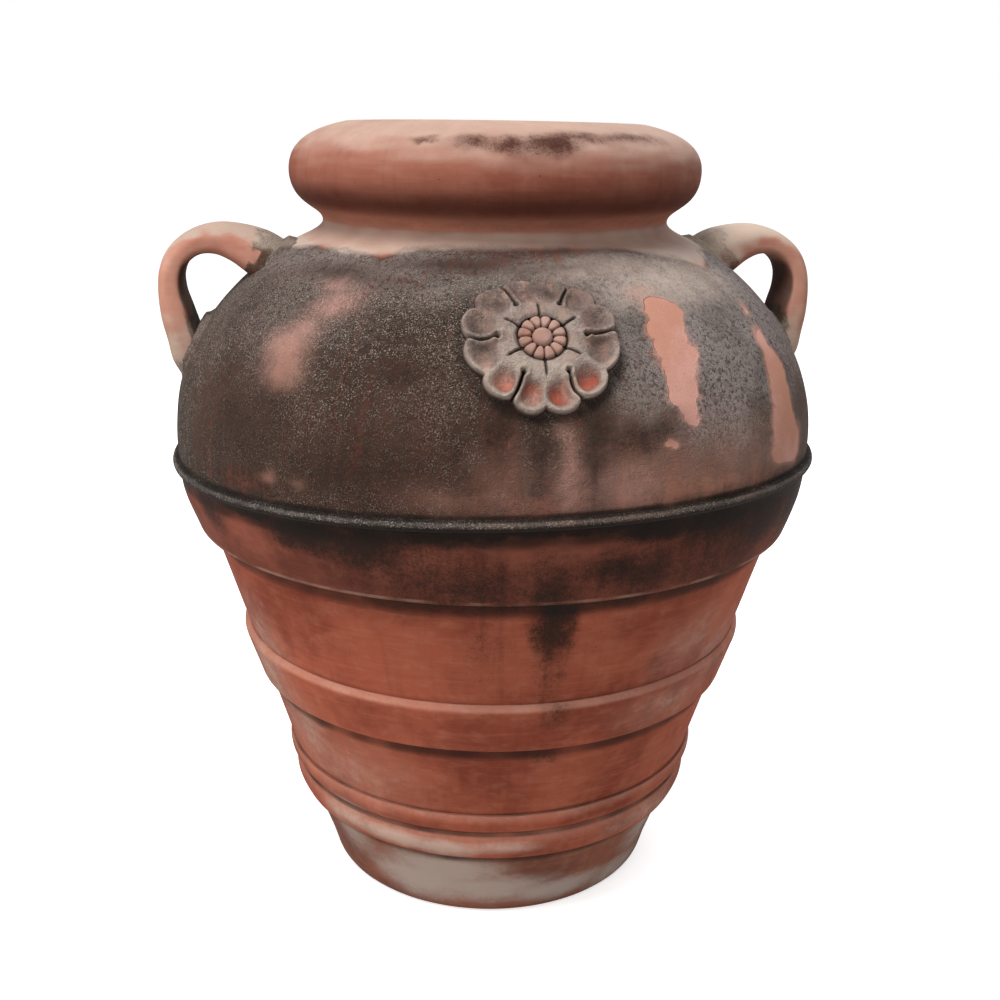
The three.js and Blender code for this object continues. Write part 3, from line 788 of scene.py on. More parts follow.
# %% Begin a clay with its fields, patterns and colours
def begin_clay(name, body, crust):
    """body is deep, body, light, fresh and lime; crust is brown, grey, black and stain."""
    material = bpy.data.materials.new(name)
    material.use_nodes = True
    tree = material.node_tree
    tree.nodes.clear()
    clay = SimpleNamespace(material=material, tree=tree)
    clay.deep, clay.body, clay.light, clay.fresh, clay.lime = (linear(code) for code in body)
    clay.brown, clay.grey, clay.black, clay.stained = (linear(code) for code in crust)
    clay.field = {
        key: add(tree, "ShaderNodeAttribute", {"attribute_name": key}, {}, "Fac")
        for key in ("crust", "grey", "flaked", "soot", "bloom", "shade_and_dirt")
    }
    for key, (size, detail, flat, seed) in PATTERNS.items():
        setattr(clay, key, grain(tree, size, detail, flat, seed))
    clay.streaks = rain(tree, STREAK_WIDTH, seed=7)
    spots = add(tree, "ShaderNodeTexVoronoi", {}, {
        "Vector": add(tree, "ShaderNodeTexCoord", {}, {}, "Object"),
        "Scale": 1 / (PIT_SPACING * MM),
    })
    clay.pits = beyond(tree, (spots, 0.035, 0.02))
    return clay


# %% Fire the body
def fired_body(clay):
    colour = dabbed(clay.tree, clay.deep, [
        (clay.body, clay.cloud, 0.36, 0.62), (clay.light, clay.mottle, 0.46, 0.7, 0.26),
        (clay.light, clay.marks, 0.5, 0.72, 0.16), (clay.deep, clay.marks, 0.48, 0.3, 0.16),
        (clay.stained, clay.streaks, 0.5, 0.74, 0.2), (clay.deep, clay.sand, 0.46, 0.3, 0.14),
    ])
    return coat(clay.tree, colour, clay.black, clay.pits, 0.8)


# %% [markdown]
# ### Crust, bare places, soot, and painted shade with some dirt
# The crust is a dark skin of soot and lichen. Under it the clay is stained, and where it is
# thin the stain shows. The skin has black hollows and grains of lime that catch the light,
# fewer where it has bleached to grey. Where it flaked off, the clay is fresh and bright, with
# a sharp broken edge. Soot came last, and painted shade, with a little dirt, goes over all, so
# these are laid last.

# %% Lay the crust
def crusted(clay, colour, speck, veil):
    """speck is how many light grains show, and veil how dark the stain under the crust is."""
    tree, field = clay.tree, clay.field
    under = dabbed(tree, clay.stained, [(clay.brown, clay.streaks, 0.36, 0.62)])
    colour = coat(tree, colour, under, beyond(tree, (field["crust"], 0, 0.55, veil)))
    skin = dabbed(tree, coat(tree, clay.brown, clay.grey, field["grey"]), [
        (clay.black, clay.cloud, 0.44, 0.62, 0.5), (clay.black, clay.stain, 0.5, 0.7, 0.4),
        (clay.stained, clay.streaks, 0.54, 0.7, 0.34), (clay.black, clay.grit, 0.5, 0.34, 0.7),
        (clay.black, clay.sand, 0.48, 0.34, 0.75),
    ])
    bright = beyond(tree, (clay.sand, 0.53, 0.67), (clay.stain, 0.3, 0.6, speck),
                    (field["crust"], 0.45, 0.95), (field["grey"], 1.6, 0))
    skin = coat(tree, skin, clay.lime, bright)
    lies = cover(tree, field["crust"], [
        (clay.stain, 0.9), (clay.grit, 0.8), (clay.sand, 1.3), (clay.streaks, 1.1),
    ], 0.36)
    return coat(tree, colour, skin, lies), lies


# %% Lay bloom, bare clay, soot, and painted shade with some dirt
def bloomed(clay, colour, edge):
    return layer(clay.tree, colour, clay.lime, clay.field["bloom"],
                 [(clay.mottle, 0.9), (clay.stain, 0.4), (clay.grit, 0.5)], edge, 0.5, 0.6)


def bared(clay, colour, edge):
    tree, flaked = clay.tree, clay.field["flaked"]
    lies = cover(tree, flaked, [
        (clay.mottle, 0.9), (clay.stain, 1.0), (clay.grit, 0.4), (clay.sand, 0.4),
    ], edge, (flaked, 0.42, 0.56))
    bare = dabbed(tree, clay.fresh, [
        (clay.light, clay.cloud, 0.4, 0.6), (clay.deep, clay.sand, 0.46, 0.34, 0.24),
    ])
    colour = coat(tree, colour, bare, beyond(tree, (flaked, 0, 0.8)))
    return coat(tree, colour, bare, lies), lies


def sooted_and_shaded(clay, colour):
    tree, field = clay.tree, clay.field
    colour = coat(tree, colour, clay.stained, field["soot"], 0.72)
    colour = layer(tree, colour, clay.black, field["soot"], [
        (clay.stain, 0.6), (clay.grit, 0.8), (clay.sand, 1.1), (clay.streaks, 0.5),
    ], 0.5, 0.2, 0.86)
    # the last layer is painted shade in grooves, hollows and undersides, with a little dirt
    return layer(tree, colour, clay.black, field["shade_and_dirt"],
                 [(clay.mottle, 0.4), (clay.sand, 0.4)], 0.5, 0.5, 0.66)


# %% [markdown]
# ### Relief and shine
# Crust stands proud of the clay by a fraction of a millimetre, and turning ridges, sand and
# pits are finer still, so they are bump and not mesh. Earthenware has an IOR of about 1.5,
# but its pores scatter nearly all of its shine: its specular level is far below the usual
# 0.5, and its roughness is near 0.86. It is no metal.

# %% Finish the surface and put the recipe together
BUMP_DEPTH = 0.9
BUMP_STRENGTH = 0.8
DRY_SHINE = 0.14
DRY_ROUGHNESS = 0.86


def dry_surface(clay, colour, crust_lies, bare_lies):
    tree = clay.tree
    crusty = add(tree, "ShaderNodeMath", {"operation": "SUBTRACT", "use_clamp": True},
                 {0: crust_lies, 1: bare_lies})
    crumbs = add(tree, "ShaderNodeMath", {"operation": "MULTIPLY_ADD"},
                 {0: clay.grit, 1: 1.2, 2: clay.sand})
    height = add(tree, "ShaderNodeMath", {"operation": "MULTIPLY"}, {0: crumbs, 1: crusty})
    for pattern, share in ((clay.marks, 0.35), (clay.sand, 0.2), (crusty, 0.5),
                           (clay.pits, -1.0)):
        height = add(tree, "ShaderNodeMath", {"operation": "MULTIPLY_ADD"},
                     {0: pattern, 1: share, 2: height})
    normal = add(tree, "ShaderNodeBump", {}, {
        "Height": height, "Distance": BUMP_DEPTH * MM, "Strength": BUMP_STRENGTH,
    })
    roughness = add(tree, "ShaderNodeMath", {"operation": "MULTIPLY_ADD", "use_clamp": True},
                    {0: clay.mottle, 1: 0.16, 2: DRY_ROUGHNESS - 0.08})
    surface = add(tree, "ShaderNodeBsdfPrincipled", {}, {
        "Base Color": colour, "Roughness": roughness, "Normal": normal,
        "Specular IOR Level": DRY_SHINE,
    })
    add(tree, "ShaderNodeOutputMaterial", {}, {"Surface": surface}, slice(0, 0))


def terracotta(name, body, crust, speck=0.56, veil=0.8, bare_edge=0.14, bloom_edge=0.5):
    """The whole recipe; a low edge is a sharp one, a high edge fades out."""
    clay = begin_clay(name, body, crust)
    colour, crust_lies = crusted(clay, fired_body(clay), speck, veil)
    colour = bloomed(clay, colour, bloom_edge)
    colour, bare_lies = bared(clay, colour, bare_edge)
    dry_surface(clay, sooted_and_shaded(clay, colour), crust_lies, bare_lies)
    print(f"{name}: {len(clay.tree.nodes)} nodes")
    return clay.material


# %% [markdown]
# ### The finishes
# All finishes are the same low-fired clay. What differs is how each place was shaped and
# what the weather did there, so each has its own body colours, crust colours and grit.

# %% Mix the clays of the walls
CRUST = ("#41352d", "#857b78", "#17120f", "#553227")
# turned and smoothed with a rib: warm orange-brown in soft clouds, with fine level marks
wall_clay = terracotta("turned_terracotta", (
    "#864130", "#aa5c46", "#c27f67", "#cd8a75", "#cdb5a7"), CRUST)
# the foot stands in the damp, which draws lime out of it: a dull brown under chalky grey
foot_clay = terracotta("limed_terracotta", (
    "#74483b", "#915c4a", "#ae8270", "#b98672", "#c2b5ac"), CRUST)
# the strip below the belt took the drips of soot: a dark red-brown, almost without light
band_clay = terracotta("stained_terracotta", (
    "#66352a", "#874b3b", "#9a6353", "#a87160", "#a98f80"), CRUST)
# the belly and shoulder carry the crust: dark, gritty, flecked with lime, and pink where
# it has flaked off
belly_clay = terracotta("crusted_terracotta", (
    "#7d4636", "#985c4a", "#b88572", "#c8978b", "#b8a89d"), CRUST)
# the belt caught soot from above: nearly black, with a painted grey highlight on its crest and
# many flecks
belt_clay = terracotta("sooted_terracotta", (
    "#33261f", "#44352d", "#6a564b", "#8d6a5a", "#b5aaa0"), (
    "#322b28", "#4a4442", "#120e0c", "#2d211b"), speck=0.8)

# %% Mix the clays of the rim, the handles and the rosette
# the rim was rubbed by hands and washed by rain: smooth and pale above, with a deep red-brown
# painted shade below, and its bloom fades out without an edge
rim_clay = terracotta("rubbed_terracotta", (
    "#7c4435", "#8f5747", "#a0705f", "#b67b66", "#c0aa9c"), (
    "#4a3d36", "#746c69", "#38170f", "#5c3326"), bloom_edge=1.3)
# the straps were pulled wet and smoothed with the palm: a paler, pinker, even clay
handle_clay = terracotta("smoothed_terracotta", (
    "#ad7564", "#bd8a78", "#c79c8a", "#c99781", "#bfb1a3"), (
    "#5b463c", "#6a5d54", "#2a1c15", "#5c3a2e"))
# luting clay is sandy slip that was smeared on and left rough: grey-brown and gritty
luting_clay = terracotta("luting_clay", (
    "#6b5146", "#7f6556", "#957e6c", "#a9806c", "#b3a494"), CRUST, speck=0.6)
# the rosette was pressed in a mould from fine clay: grey-beige, with red left in its bowls
rosette_clay = terracotta("moulded_terracotta", (
    "#9c7a6e", "#b89c91", "#a0604f", "#8a4435", "#c8b9ac"), (
    "#64524a", "#948884", "#1c1411", "#6e5547"), bare_edge=0.6, veil=0.5)

# %% [markdown]
# ## Turned courses
# The jar was built in courses, each turned on the wheel and joined to the one below. A screw
# modifier could spin an outline, but the points are made directly, so that their rows are a
# few millimetres apart and the unevenness and the fields have points to live on. Each
# outline is closed through the thickness of its wall, as the real wall is.

# %% Spin an outline into a piece
COLUMNS = 320
# how far apart the rows are on the side that shows and on the rest, in mm
FINE_ROW = 3
ROUGH_ROW = 14
print(f"on the belly, columns are {2 * math.pi * belly_radius / COLUMNS:.1f} mm apart")


def turned(node, outside, inside, material, dress=None, row=FINE_ROW):
    """outside is the outline that shows and inside the rest, both in order round the wall."""
    outside, inside = np.array(outside, float), np.array(inside, float)
    back = np.vstack([outside[-1:], inside, outside[:1]])
    outline = np.vstack([dense(outside, row), dense(back, ROUGH_ROW)[1:-1]])
    azimuth = np.linspace(0, 2 * math.pi, COLUMNS, endpoint=False)
    radius = outline[:, 0][:, None]
    level = np.repeat(outline[:, 1][:, None], COLUMNS, axis=1)
    places = np.stack([radius * np.sin(azimuth), -radius * np.cos(azimuth), level], axis=-1)
    faces = grid_faces(len(outline), COLUMNS, wrap_rows=True)
    return piece(f"{node}_clay", places.reshape(-1, 3), faces, [node], material,
                 dress=dress)


def course(node, bottom, top, material, breaks=()):
    levels = [bottom, *breaks, top]
    return turned(
        node, [(wall_radius(level), level) for level in levels],
        [(inner_radius(level), level) for level in reversed(levels)], material,
    )


# %% Floor and wall courses
floor_edge = wall_radius(FOOT_ROUNDING)
turned("floor_slab", softened([
    (0.01, 0), (floor_edge - 1, 0, FOOT_ROUNDING), (wall_radius(floor_top), floor_top),
]), [(0.01, floor_top)], foot_clay, row=5)
course("foot_wall", floor_top, groove_level, foot_clay, [bead_level])
course("lower_wall", groove_level, middle_joint, wall_clay)
course("waist_wall", middle_joint, belt_joint, wall_clay)

# %% Belly and shoulder
belly_inside = np.column_stack(off_belly(belly_climb, -BELLY_WALL))


def stretch(outline, bottom, top):
    """The part of a rising outline between two levels, cut square across."""
    inside = outline[(outline[:, 1] > bottom) & (outline[:, 1] < top)]
    ends = [
        (np.interp(level, outline[:, 1], outline[:, 0]), level) for level in (bottom, top)
    ]
    return np.vstack([ends[:1], inside, ends[1:]])


turned("belly_wall", np.vstack([
    [(belly_radius, belt_joint)], stretch(belly_curve, belly_level, shoulder_joint)[::4],
    [(np.interp(shoulder_joint, belly_curve[:, 1], belly_curve[:, 0]), shoulder_joint)],
]), np.vstack([
    stretch(belly_inside, belly_level, shoulder_joint)[::-6],
    [(inner_radius(belt_joint), belt_joint)],
]), belly_clay)
throat = belly_inside[(belly_inside[:, 0] > neck_bore) & (belly_inside[:, 1] > shoulder_joint)]
turned("shoulder_wall", stretch(belly_curve, shoulder_joint, seat_level - 0.01), np.vstack([
    [(neck_bore, seat_level)], throat[::-6],
    [(np.interp(shoulder_joint, belly_inside[:, 1], belly_inside[:, 0]), shoulder_joint)],
]), belly_clay)

# %% [markdown]
# ## Beads, bands and belt
# Rolls and strips of clay were pressed on over the joints. They could be part of the walls'
# own outlines, but as pieces of their own they keep the crisp joint that a pressed-on strip
# has. They throw the sharp shadows: an undercut below the lower bead, a ledge on the middle
# band, and the overhanging lip of the upper band. The belt is a half-round roll.

# %% Weather the ledges, and paint light on them
# the painted highlight along the upper band's lip: how far above its foot, and how wide, in mm
LIP_HIGHLIGHT_RISE = 3.4
LIP_HIGHLIGHT_REACH = 3.2


def ledges(fields, places, ways):
    """Tops that face up are painted paler, as light falls there, and the lip gets a painted
    highlight line.
    """
    from_line = np.abs(places[:, 2] - upper_band_level - LIP_HIGHLIGHT_RISE)
    broken = np.clip(0.6 + 1.2 * clouds(places, 30, 4), 0, 1)
    lip_highlight = 0.5 * broken * ramp(LIP_HIGHLIGHT_REACH - from_line, 0, 2)
    facing_up = ramp(ways[:, 2], -0.24, 0.5)
    # painted light on up-facing tops, in the colours of bloom and fresh clay
    fields["bloom"] = np.maximum.reduce([fields["bloom"], 0.34 * facing_up, lip_highlight])
    fields["flaked"] = np.maximum(fields["flaked"], 0.36 * facing_up)
    fields["soot"] = fields["soot"] * (1 - lip_highlight)


print(f"the pale line lies {LIP_HIGHLIGHT_RISE} mm above the lip's foot")

# %% Press on the beads
# how far the back of a bead, band or belt lies inside the wall, in mm
LET_IN = 2


def bead(node, bottom, top, low_proud, high_proud):
    share = np.linspace(0, 1, 21)
    levels = bottom + (top - bottom) * share
    swell = BEAD_SWELL * np.sin(math.pi * share)
    proud = low_proud + (high_proud - low_proud) * share + swell
    outside = [(wall_radius(level) + out, level) for level, out in zip(levels, proud)]
    inside = [(wall_radius(level) - LET_IN, level) for level in (top, bottom)]
    return turned(node, outside, inside, wall_clay, ledges)


bead("lower_bead", bead_level, groove_level, BEAD_PROUD, GROOVE_PROUD)
bead("upper_bead", groove_level, lower_wall_level, GROOVE_PROUD, GROOVE_PROUD)


# %% Press on the middle band
# its top edge is rounded off, and its back lies in the wall
band_foot, band_top = wall_radius(middle_band_level), wall_radius(waist_level)
band = softened([
    (band_foot - LET_IN, middle_band_level + 1),
    (band_foot + MIDDLE_BAND_PROUD, middle_band_level, 3),
    (band_top + MIDDLE_BAND_PROUD - 0.5, waist_level - 7, 5),
    (band_top + 1.5, waist_level, 2), (band_top - LET_IN, waist_level),
])
turned("middle_band", band[1:-1], band[[-1, 0]], wall_clay, ledges, row=2)

# %% Press on the upper band
lip_radius = wall_radius(upper_band_level) + UPPER_BAND_PROUD
fullest = lip_radius + (belly_radius - lip_radius) * UPPER_BAND_FULLEST + UPPER_BAND_SWELL
lip = softened([
    (wall_radius(upper_band_level) - LET_IN, upper_band_level + 3),
    (lip_radius, upper_band_level, 3),
    (fullest, upper_band_level + (belt_level - upper_band_level) * UPPER_BAND_FULLEST, 60),
    (belly_radius, belt_level), (belly_radius, belt_joint),
])
turned("upper_band", lip[1:], [(waist_radius - LET_IN, belt_joint), lip[0]],
       band_clay, ledges, row=2)

# %% Press on the belt
half_turn = np.linspace(0, math.pi, 19)
cord = np.column_stack([
    belly_radius - LET_IN + (BELT_PROUD + LET_IN) * np.sin(half_turn),
    (belt_level + belly_level) / 2 - (belly_level - belt_level) / 2 * np.cos(half_turn),
])


def belt_dress(fields, places, ways):
    """The belt has a painted grey highlight on its crest, and soot with painted shade below."""
    crest_highlight = ramp(ways[:, 2], -0.1, 0.5) * ramp(ways[:, 2], 0.95, 0.6)
    fields["crust"] = np.full_like(crest_highlight, 0.9)
    fields["bloom"] = 0.12 * crest_highlight
    fields["grey"] = 0.8 * crest_highlight
    # soot and painted shade on the underside, where it faces down
    fields["soot"] = 0.75 * (1 - crest_highlight) * ramp(-ways[:, 2], -0.2, 0.5)


turned("belt_cord", cord, [(belly_radius - 3, belt_joint)], belt_clay, belt_dress)

# %% [markdown]
# ## Neck and rim
# The collar sweeps up from the shoulder, and the rim is a fat roll that was turned over
# outward by hand. Its crown falls gently to the mouth. A torus would be too even: two curves
# give it a full front and a flatter top. Its top is bleached by rain and sun. The underside of
# the roll is painted a deep red-brown shade, and the throat below it is painted lighter.

# %% Weather the rim, and paint its light and shade
# painted light in the shaded throat below the roll, and painted shade on the roll's underside
# above it: levels over the neck's top, in mm
THROAT_TOP = 30
SHADE_START, SHADE_FULL = 9, 32


def rim_dress(fields, places, ways):
    x, y, level = places.T
    above = level - neck_level
    wisps = clouds(places * np.array([1, 1, 5]), 46, 3)
    up = ways[:, 2] + 0.22 * wisps + 0.12 * x / rim_radius
    outside = (np.hypot(x, y) > neck_bore + 6) | (level > rim_level - LIP_ROUNDING)
    # the throat below the roll lies in shade, and is painted lighter with the fresh clay colour
    throat = ramp(above, 0, 4) * ramp(THROAT_TOP - above, 0, 16)
    # painted shade on the underside of the roll, where it faces down
    low = ramp(-ways[:, 2] - 0.1 * wisps, -0.2, 0.75) * ramp(above, SHADE_START, SHADE_FULL)
    fields["bloom"] = np.maximum(fields["bloom"], 0.74 * ramp(up, -0.1, 1.1)) * outside
    fields["flaked"] = 0.5 * throat * outside
    fields["shade_and_dirt"] = np.maximum(fields["shade_and_dirt"], 0.8 * low) * outside


print(f"dirt starts {SHADE_START} mm above the neck, and the rim is widest at {widest:.0f} mm")

# %% Turn the collar and the rim
rise = (shoulder_radius - NECK_RADIUS) * SHOULDER_RISE / SHOULDER_RUN
collar = curve([
    (shoulder_radius, seat_level), (NECK_RADIUS, seat_level + rise), (NECK_RADIUS, neck_level),
], 16)
turned("neck_collar", collar, [(neck_bore, neck_level), (neck_bore, seat_level)],
       rim_clay)
mouth_turn = np.linspace(0, math.pi / 2, 8)[1:]
mouth = np.column_stack([
    lip_middle - LIP_ROUNDING * np.sin(mouth_turn),
    rim_level - LIP_ROUNDING * (1 - np.cos(mouth_turn)),
])
turned("rim_roll", np.vstack([rim_under, rim_over[1:], mouth]), [(neck_bore, neck_level)],
       rim_clay, rim_dress)

# %% [markdown]
# ## Handles
# Each handle is a strap pulled from a lump of clay, domed outside, bent over and pressed on
# at both ends. A curve with a bevel could make it, but a pulled strap is thicker and wider
# at its ends, so each row of points gets its own thickness and width. Its middle line is
# given in the belly's own measures: how far up the curve, and how far off it. Its ends stop
# inside the wall. The two straps differ in grit, dust and lichen, and in the painted light
# and shade on their tops; both have painted shade on their inner sides.

# %% Shape of the straps
HANDLE_FOOT_CLIMB = 94
HANDLE_HEAD_DROP = 44
REACH = {"left": 75, "right": 67.5}
STRAP_THICKNESS = 30
STRAP_WIDTH = 76
# share of the way from head to foot, share of the reach, and how thick and how wide, as a
# share of the strap's middle
HANDLE_SHAPE = np.array([
    (0, -0.29, 1.95, 1.36), (0.06, 0.13, 1.9, 1.3), (0.132, 0.5, 1.53, 1.15),
    (0.209, 0.77, 1.25, 1.04), (0.308, 0.95, 1.04, 1), (0.418, 1, 1, 1),
    (0.516, 0.91, 1.03, 1.02), (0.604, 0.72, 1.13, 1.06), (0.692, 0.47, 1.33, 1.12),
    (0.791, 0.2, 1.4, 1.14), (0.901, 0, 1.33, 1.06), (1, -0.16, 0.93, 0.8),
])
ALONG, ROUND = 84, 48
# 1 is a round section, and less is squarer
SQUARENESS = {"outside": 0.8, "inside": 0.5}
# no part of a strap lies deeper in the wall than this, in mm
DEEPEST = -9
# how gritty the ends are, how pale the top is with lichen and painted light, how dusty the
# head, and how much painted shade lies on the top
STRAP_LOOKS = {
    "left": SimpleNamespace(gritty=0.62, bloom_and_light=0.76, dusty=0, top_shade=0.26),
    "right": SimpleNamespace(gritty=0.3, bloom_and_light=0.95, dusty=0.5, top_shade=0),
}


def smooth_path(rows, count):
    """A smooth curve that passes through every row of values."""
    padded = np.vstack([2 * rows[0] - rows[1], rows, 2 * rows[-1] - rows[-2]])
    spots = np.linspace(0, len(rows) - 1, count)
    cell = np.minimum(spots.astype(int), len(rows) - 2)
    t = (spots - cell)[:, None]
    a, b, c, d = (padded[cell + step] for step in range(4))
    return 0.5 * (2 * b + (c - a) * t + (2 * a - 5 * b + 4 * c - d) * t ** 2
                  + (3 * b - a - 3 * c + d) * t ** 3)


print("reach of the straps in mm:", REACH)

# %% Keep the straps' ends inside the wall
def lifted(places, deepest):
    """Places sunk deeper into the belly than deepest are lifted back along its normal."""
    radius = np.hypot(places[:, 0], places[:, 1])
    spots = np.column_stack([radius, places[:, 2]])
    gaps = np.linalg.norm(spots[:, None, :] - belly_curve[None, :, :], axis=2)
    nearest = gaps.argmin(axis=1)
    normal = np.column_stack([belly_way[nearest, 1], -belly_way[nearest, 0]])
    height = ((spots - belly_curve[nearest]) * normal).sum(axis=1)
    lift = np.maximum(0, deepest - height)
    moved = spots + normal * lift[:, None]
    scale = moved[:, 0] / radius
    return np.column_stack([places[:, 0] * scale, places[:, 1] * scale, moved[:, 1]])


deep = lifted(np.array([(belly_radius - 30, 0, belt_joint + 60)]), DEEPEST)
print("a place 30 mm deep is lifted to", deep[0].round(1))

# %% Cover the straps' ends
# the smeared clay covers a strap up to this share of its way, and again from this share on
HEAD_COVERED, FOOT_COVERED = 0.085, 0.9
COVER_EDGE = 0.012


def strap_end(share, places):
    """1 where the gritty luting clay covers the strap, with a broken edge."""
    broken = 0.03 * np.array([noise.fractal(Vector(place) / 18, 0.8, 2.0, 4)
                              for place in places])
    return np.maximum(ramp(HEAD_COVERED + broken - share, 0, COVER_EDGE),
                      ramp(share - FOOT_COVERED + broken, 0, COVER_EDGE))


print(f"a strap shows from {HEAD_COVERED:.0%} to {FOOT_COVERED:.0%} of its way")


# %% Sweep a strap
def strap_skin(side):
    """Places and faces of a strap, and how far along its way each place is."""
    way, off, thick, wide = smooth_path(HANDLE_SHAPE, ALONG).T
    climb = (belly_length - HANDLE_HEAD_DROP) * (1 - way) + HANDLE_FOOT_CLIMB * way
    radius, level = off_belly(climb, off * REACH[side])
    path = np.column_stack([radius, level])
    along = np.gradient(path, axis=0)
    along /= np.linalg.norm(along, axis=1)[:, None]
    across = np.column_stack([-along[:, 1], along[:, 0]])
    turn = np.linspace(0, 2 * math.pi, ROUND, endpoint=False)
    power = np.where(np.cos(turn) < 0, SQUARENESS["inside"], SQUARENESS["outside"])
    square = [np.sign(v) * np.abs(v) ** power for v in (np.cos(turn), np.sin(turn))]
    out = square[0][None, :] * (thick * STRAP_THICKNESS / 2)[:, None]
    width = square[1][None, :] * (wide * STRAP_WIDTH / 2)[:, None]
    x = path[:, 0][:, None] + across[:, 0][:, None] * out
    z = path[:, 1][:, None] + across[:, 1][:, None] * out
    sign = -1 if side == "left" else 1
    places = np.stack([sign * x, width, z], axis=-1).reshape(-1, 3)
    faces = grid_faces(ALONG, ROUND)
    faces += [list(range(ROUND)), [(ALONG - 1) * ROUND + i for i in reversed(range(ROUND))]]
    if side == "right":
        faces = [face[::-1] for face in faces]
    return lifted(places, DEEPEST), faces, np.repeat(way, ROUND)


# %% Make the straps, weather them, and paint their light and shade
def strap(side):
    places, faces, share = strap_skin(side)
    sign = -1 if side == "left" else 1
    luted = strap_end(share, places)
    looks = STRAP_LOOKS[side]

    def dress(fields, places, ways):
        inward, up = -sign * ways[:, 0], ways[:, 2]
        soft = 0.5 * clouds(places, 20, 5)
        smeared = ramp(inward + soft, 0.2, 0.5) * ramp(share + 0.1 * soft, 0.66, 0.74)
        dusty = looks.dusty * ramp(0.36 - share, 0, 0.3)
        # painted shade, with some dirt, on the inner side that faces the belly
        inner_dirt_and_shade = ramp(inward + 0.2 * soft, 0.4, 1.0)
        inner_dirt_and_shade *= ramp(share, 0.12, 0.5) * ramp(0.94 - share, 0, 0.2)
        cleared(fields, "grey", "flaked", "soot")
        fields["crust"] = np.maximum(luted * looks.gritty, 0.8 * smeared)
        # the top is pale with lichen and painted light; on the left strap it also takes painted
        # shade
        fields["bloom"] = np.maximum(looks.bloom_and_light * ramp(up + soft + dusty, 0.1, 0.95),
                                     0.66 * ramp(share + 0.2 * soft, 0.6, 0.86))
        fields["shade_and_dirt"] = np.maximum.reduce([
            inner_dirt_and_shade, 0.4 * smeared, looks.top_shade * ramp(up, 0.1, 0.9),
        ])

    return piece(f"{side}_handle_strap", places, faces, [f"{side}_handle"],
                 handle_clay, uneven=False, dress=dress)


for side in REACH:
    strap(side)

# %% [markdown]
# ## Luting
# Wet clay was smeared round both ends of each strap to hold it. It lies thick against the
# strap and thins out onto the wall with a ragged edge. It could be sculpted, but a low sheet
# over the belly follows the wall exactly: its height falls away with the distance from the
# strap's root, and a noise makes the edge ragged.

# %% Measures of the smears
# middle of each smear up the belly's curve, half its climb and width, how far it thins out
LUTES = {"head": (284, 27, 50, 15), "foot": (132, 36, 45, 16)}
LUTE_HEIGHT = 7.5
LUTE_MARGIN = 8
LUTE_SUNK = 1.2
# how far the ragged edge wanders, and how deep the grit is, in mm
LUTE_RAGGED = 5
LUTE_GRIT = 0.7
LUTE_GRID = 90
print(f"a smear is {LUTE_HEIGHT - LUTE_SUNK:.1f} mm thick at the strap")


# %% Smear the luting clay
def lute(side, end):
    middle, half_climb, half_width, spread = LUTES[end]
    reach = spread + LUTE_MARGIN
    climb = np.linspace(middle - half_climb - reach, middle + half_climb + reach, LUTE_GRID)
    across = np.linspace(-half_width - reach, half_width + reach, LUTE_GRID)
    climb, across = (values.ravel() for values in np.meshgrid(climb, across, indexing="ij"))
    shape = np.hypot((climb - middle) / half_climb, across / half_width)
    away = (shape - 1) * math.sqrt(half_climb * half_width)
    seed = 3 if side == "left" else 8
    ragged = np.array([noise.fractal(Vector((a / 16, b / 16, seed)), 0.8, 2.0, 4)
                       for a, b in zip(climb, across)])
    gritty = np.array([noise.fractal(Vector((a / 5, b / 5, seed + 9)), 0.7, 2.0, 3)
                       for a, b in zip(climb, across)])
    share = np.clip(1 - (away + LUTE_RAGGED * ragged) / spread, 0, 1)
    height = LUTE_HEIGHT * share ** 1.5 - LUTE_SUNK
    height += LUTE_GRIT * gritty * ramp(share, 0.05, 0.4)
    radius, level = off_belly(climb, height)
    sign = -1 if side == "left" else 1
    angle = across / radius
    places = np.column_stack([sign * radius * np.cos(angle), radius * np.sin(angle), level])
    faces = grid_faces(LUTE_GRID, LUTE_GRID, wrap_columns=False)
    if side == "left":
        faces = [face[::-1] for face in faces]
    return piece(f"{side}_{end}_luting", places, faces, [f"{side}_handle_{end}_lute"],
                 luting_clay, uneven=False, dress=plain_lute)


def plain_lute(fields, places, ways):
    """The right head is pale and clean, and the left side holds the most crust."""
    cleared(fields, "flaked", "soot", "shade_and_dirt")
    right = places[:, 0] > 0
    pale = right & (places[:, 2] > rosette_level)
    crusty = np.maximum(ramp(fields["crust"], 0, 0.6), 0.7)
    fields["crust"] = crusty * np.where(pale, 0.3, np.where(right, 0.62, 0.8))
    fields["grey"] = np.where(right, 0.6, 0.4)
    fields["bloom"] = np.maximum(0.4 * fields["bloom"],
                                 np.where(pale, 0.7, np.where(right, 0.34, 0.1)))


for side in REACH:
    for end in LUTES:
        lute(side, end)

# %% [markdown]
# ## The rosette
# A six-petalled rosette was pressed in a mould and stuck on the shoulder. Each petal has a
# crease by the cup, two hollows, a notched outer edge and rolled sides, and between two
# petals a slit ends in a drilled eye. It could be sculpted or cut with booleans. Here a
# petal is a relief: a height over a fan-shaped grid that is bent onto the belly, so all of
# these are sums of simple bumps and dips, and each can be tuned by itself. No two slits
# bend alike and no two petals are equally deep, because the mould was touched up by hand.

# %% Measures of a petal
CUP_RADIUS = 26
PETALS = 6
EYE_PLACE = 46
LOBE_RADIUS = 23
LOBE_TURN = math.pi / PETALS / 2
PETAL_ROWS, PETAL_COLUMNS = 96, 96
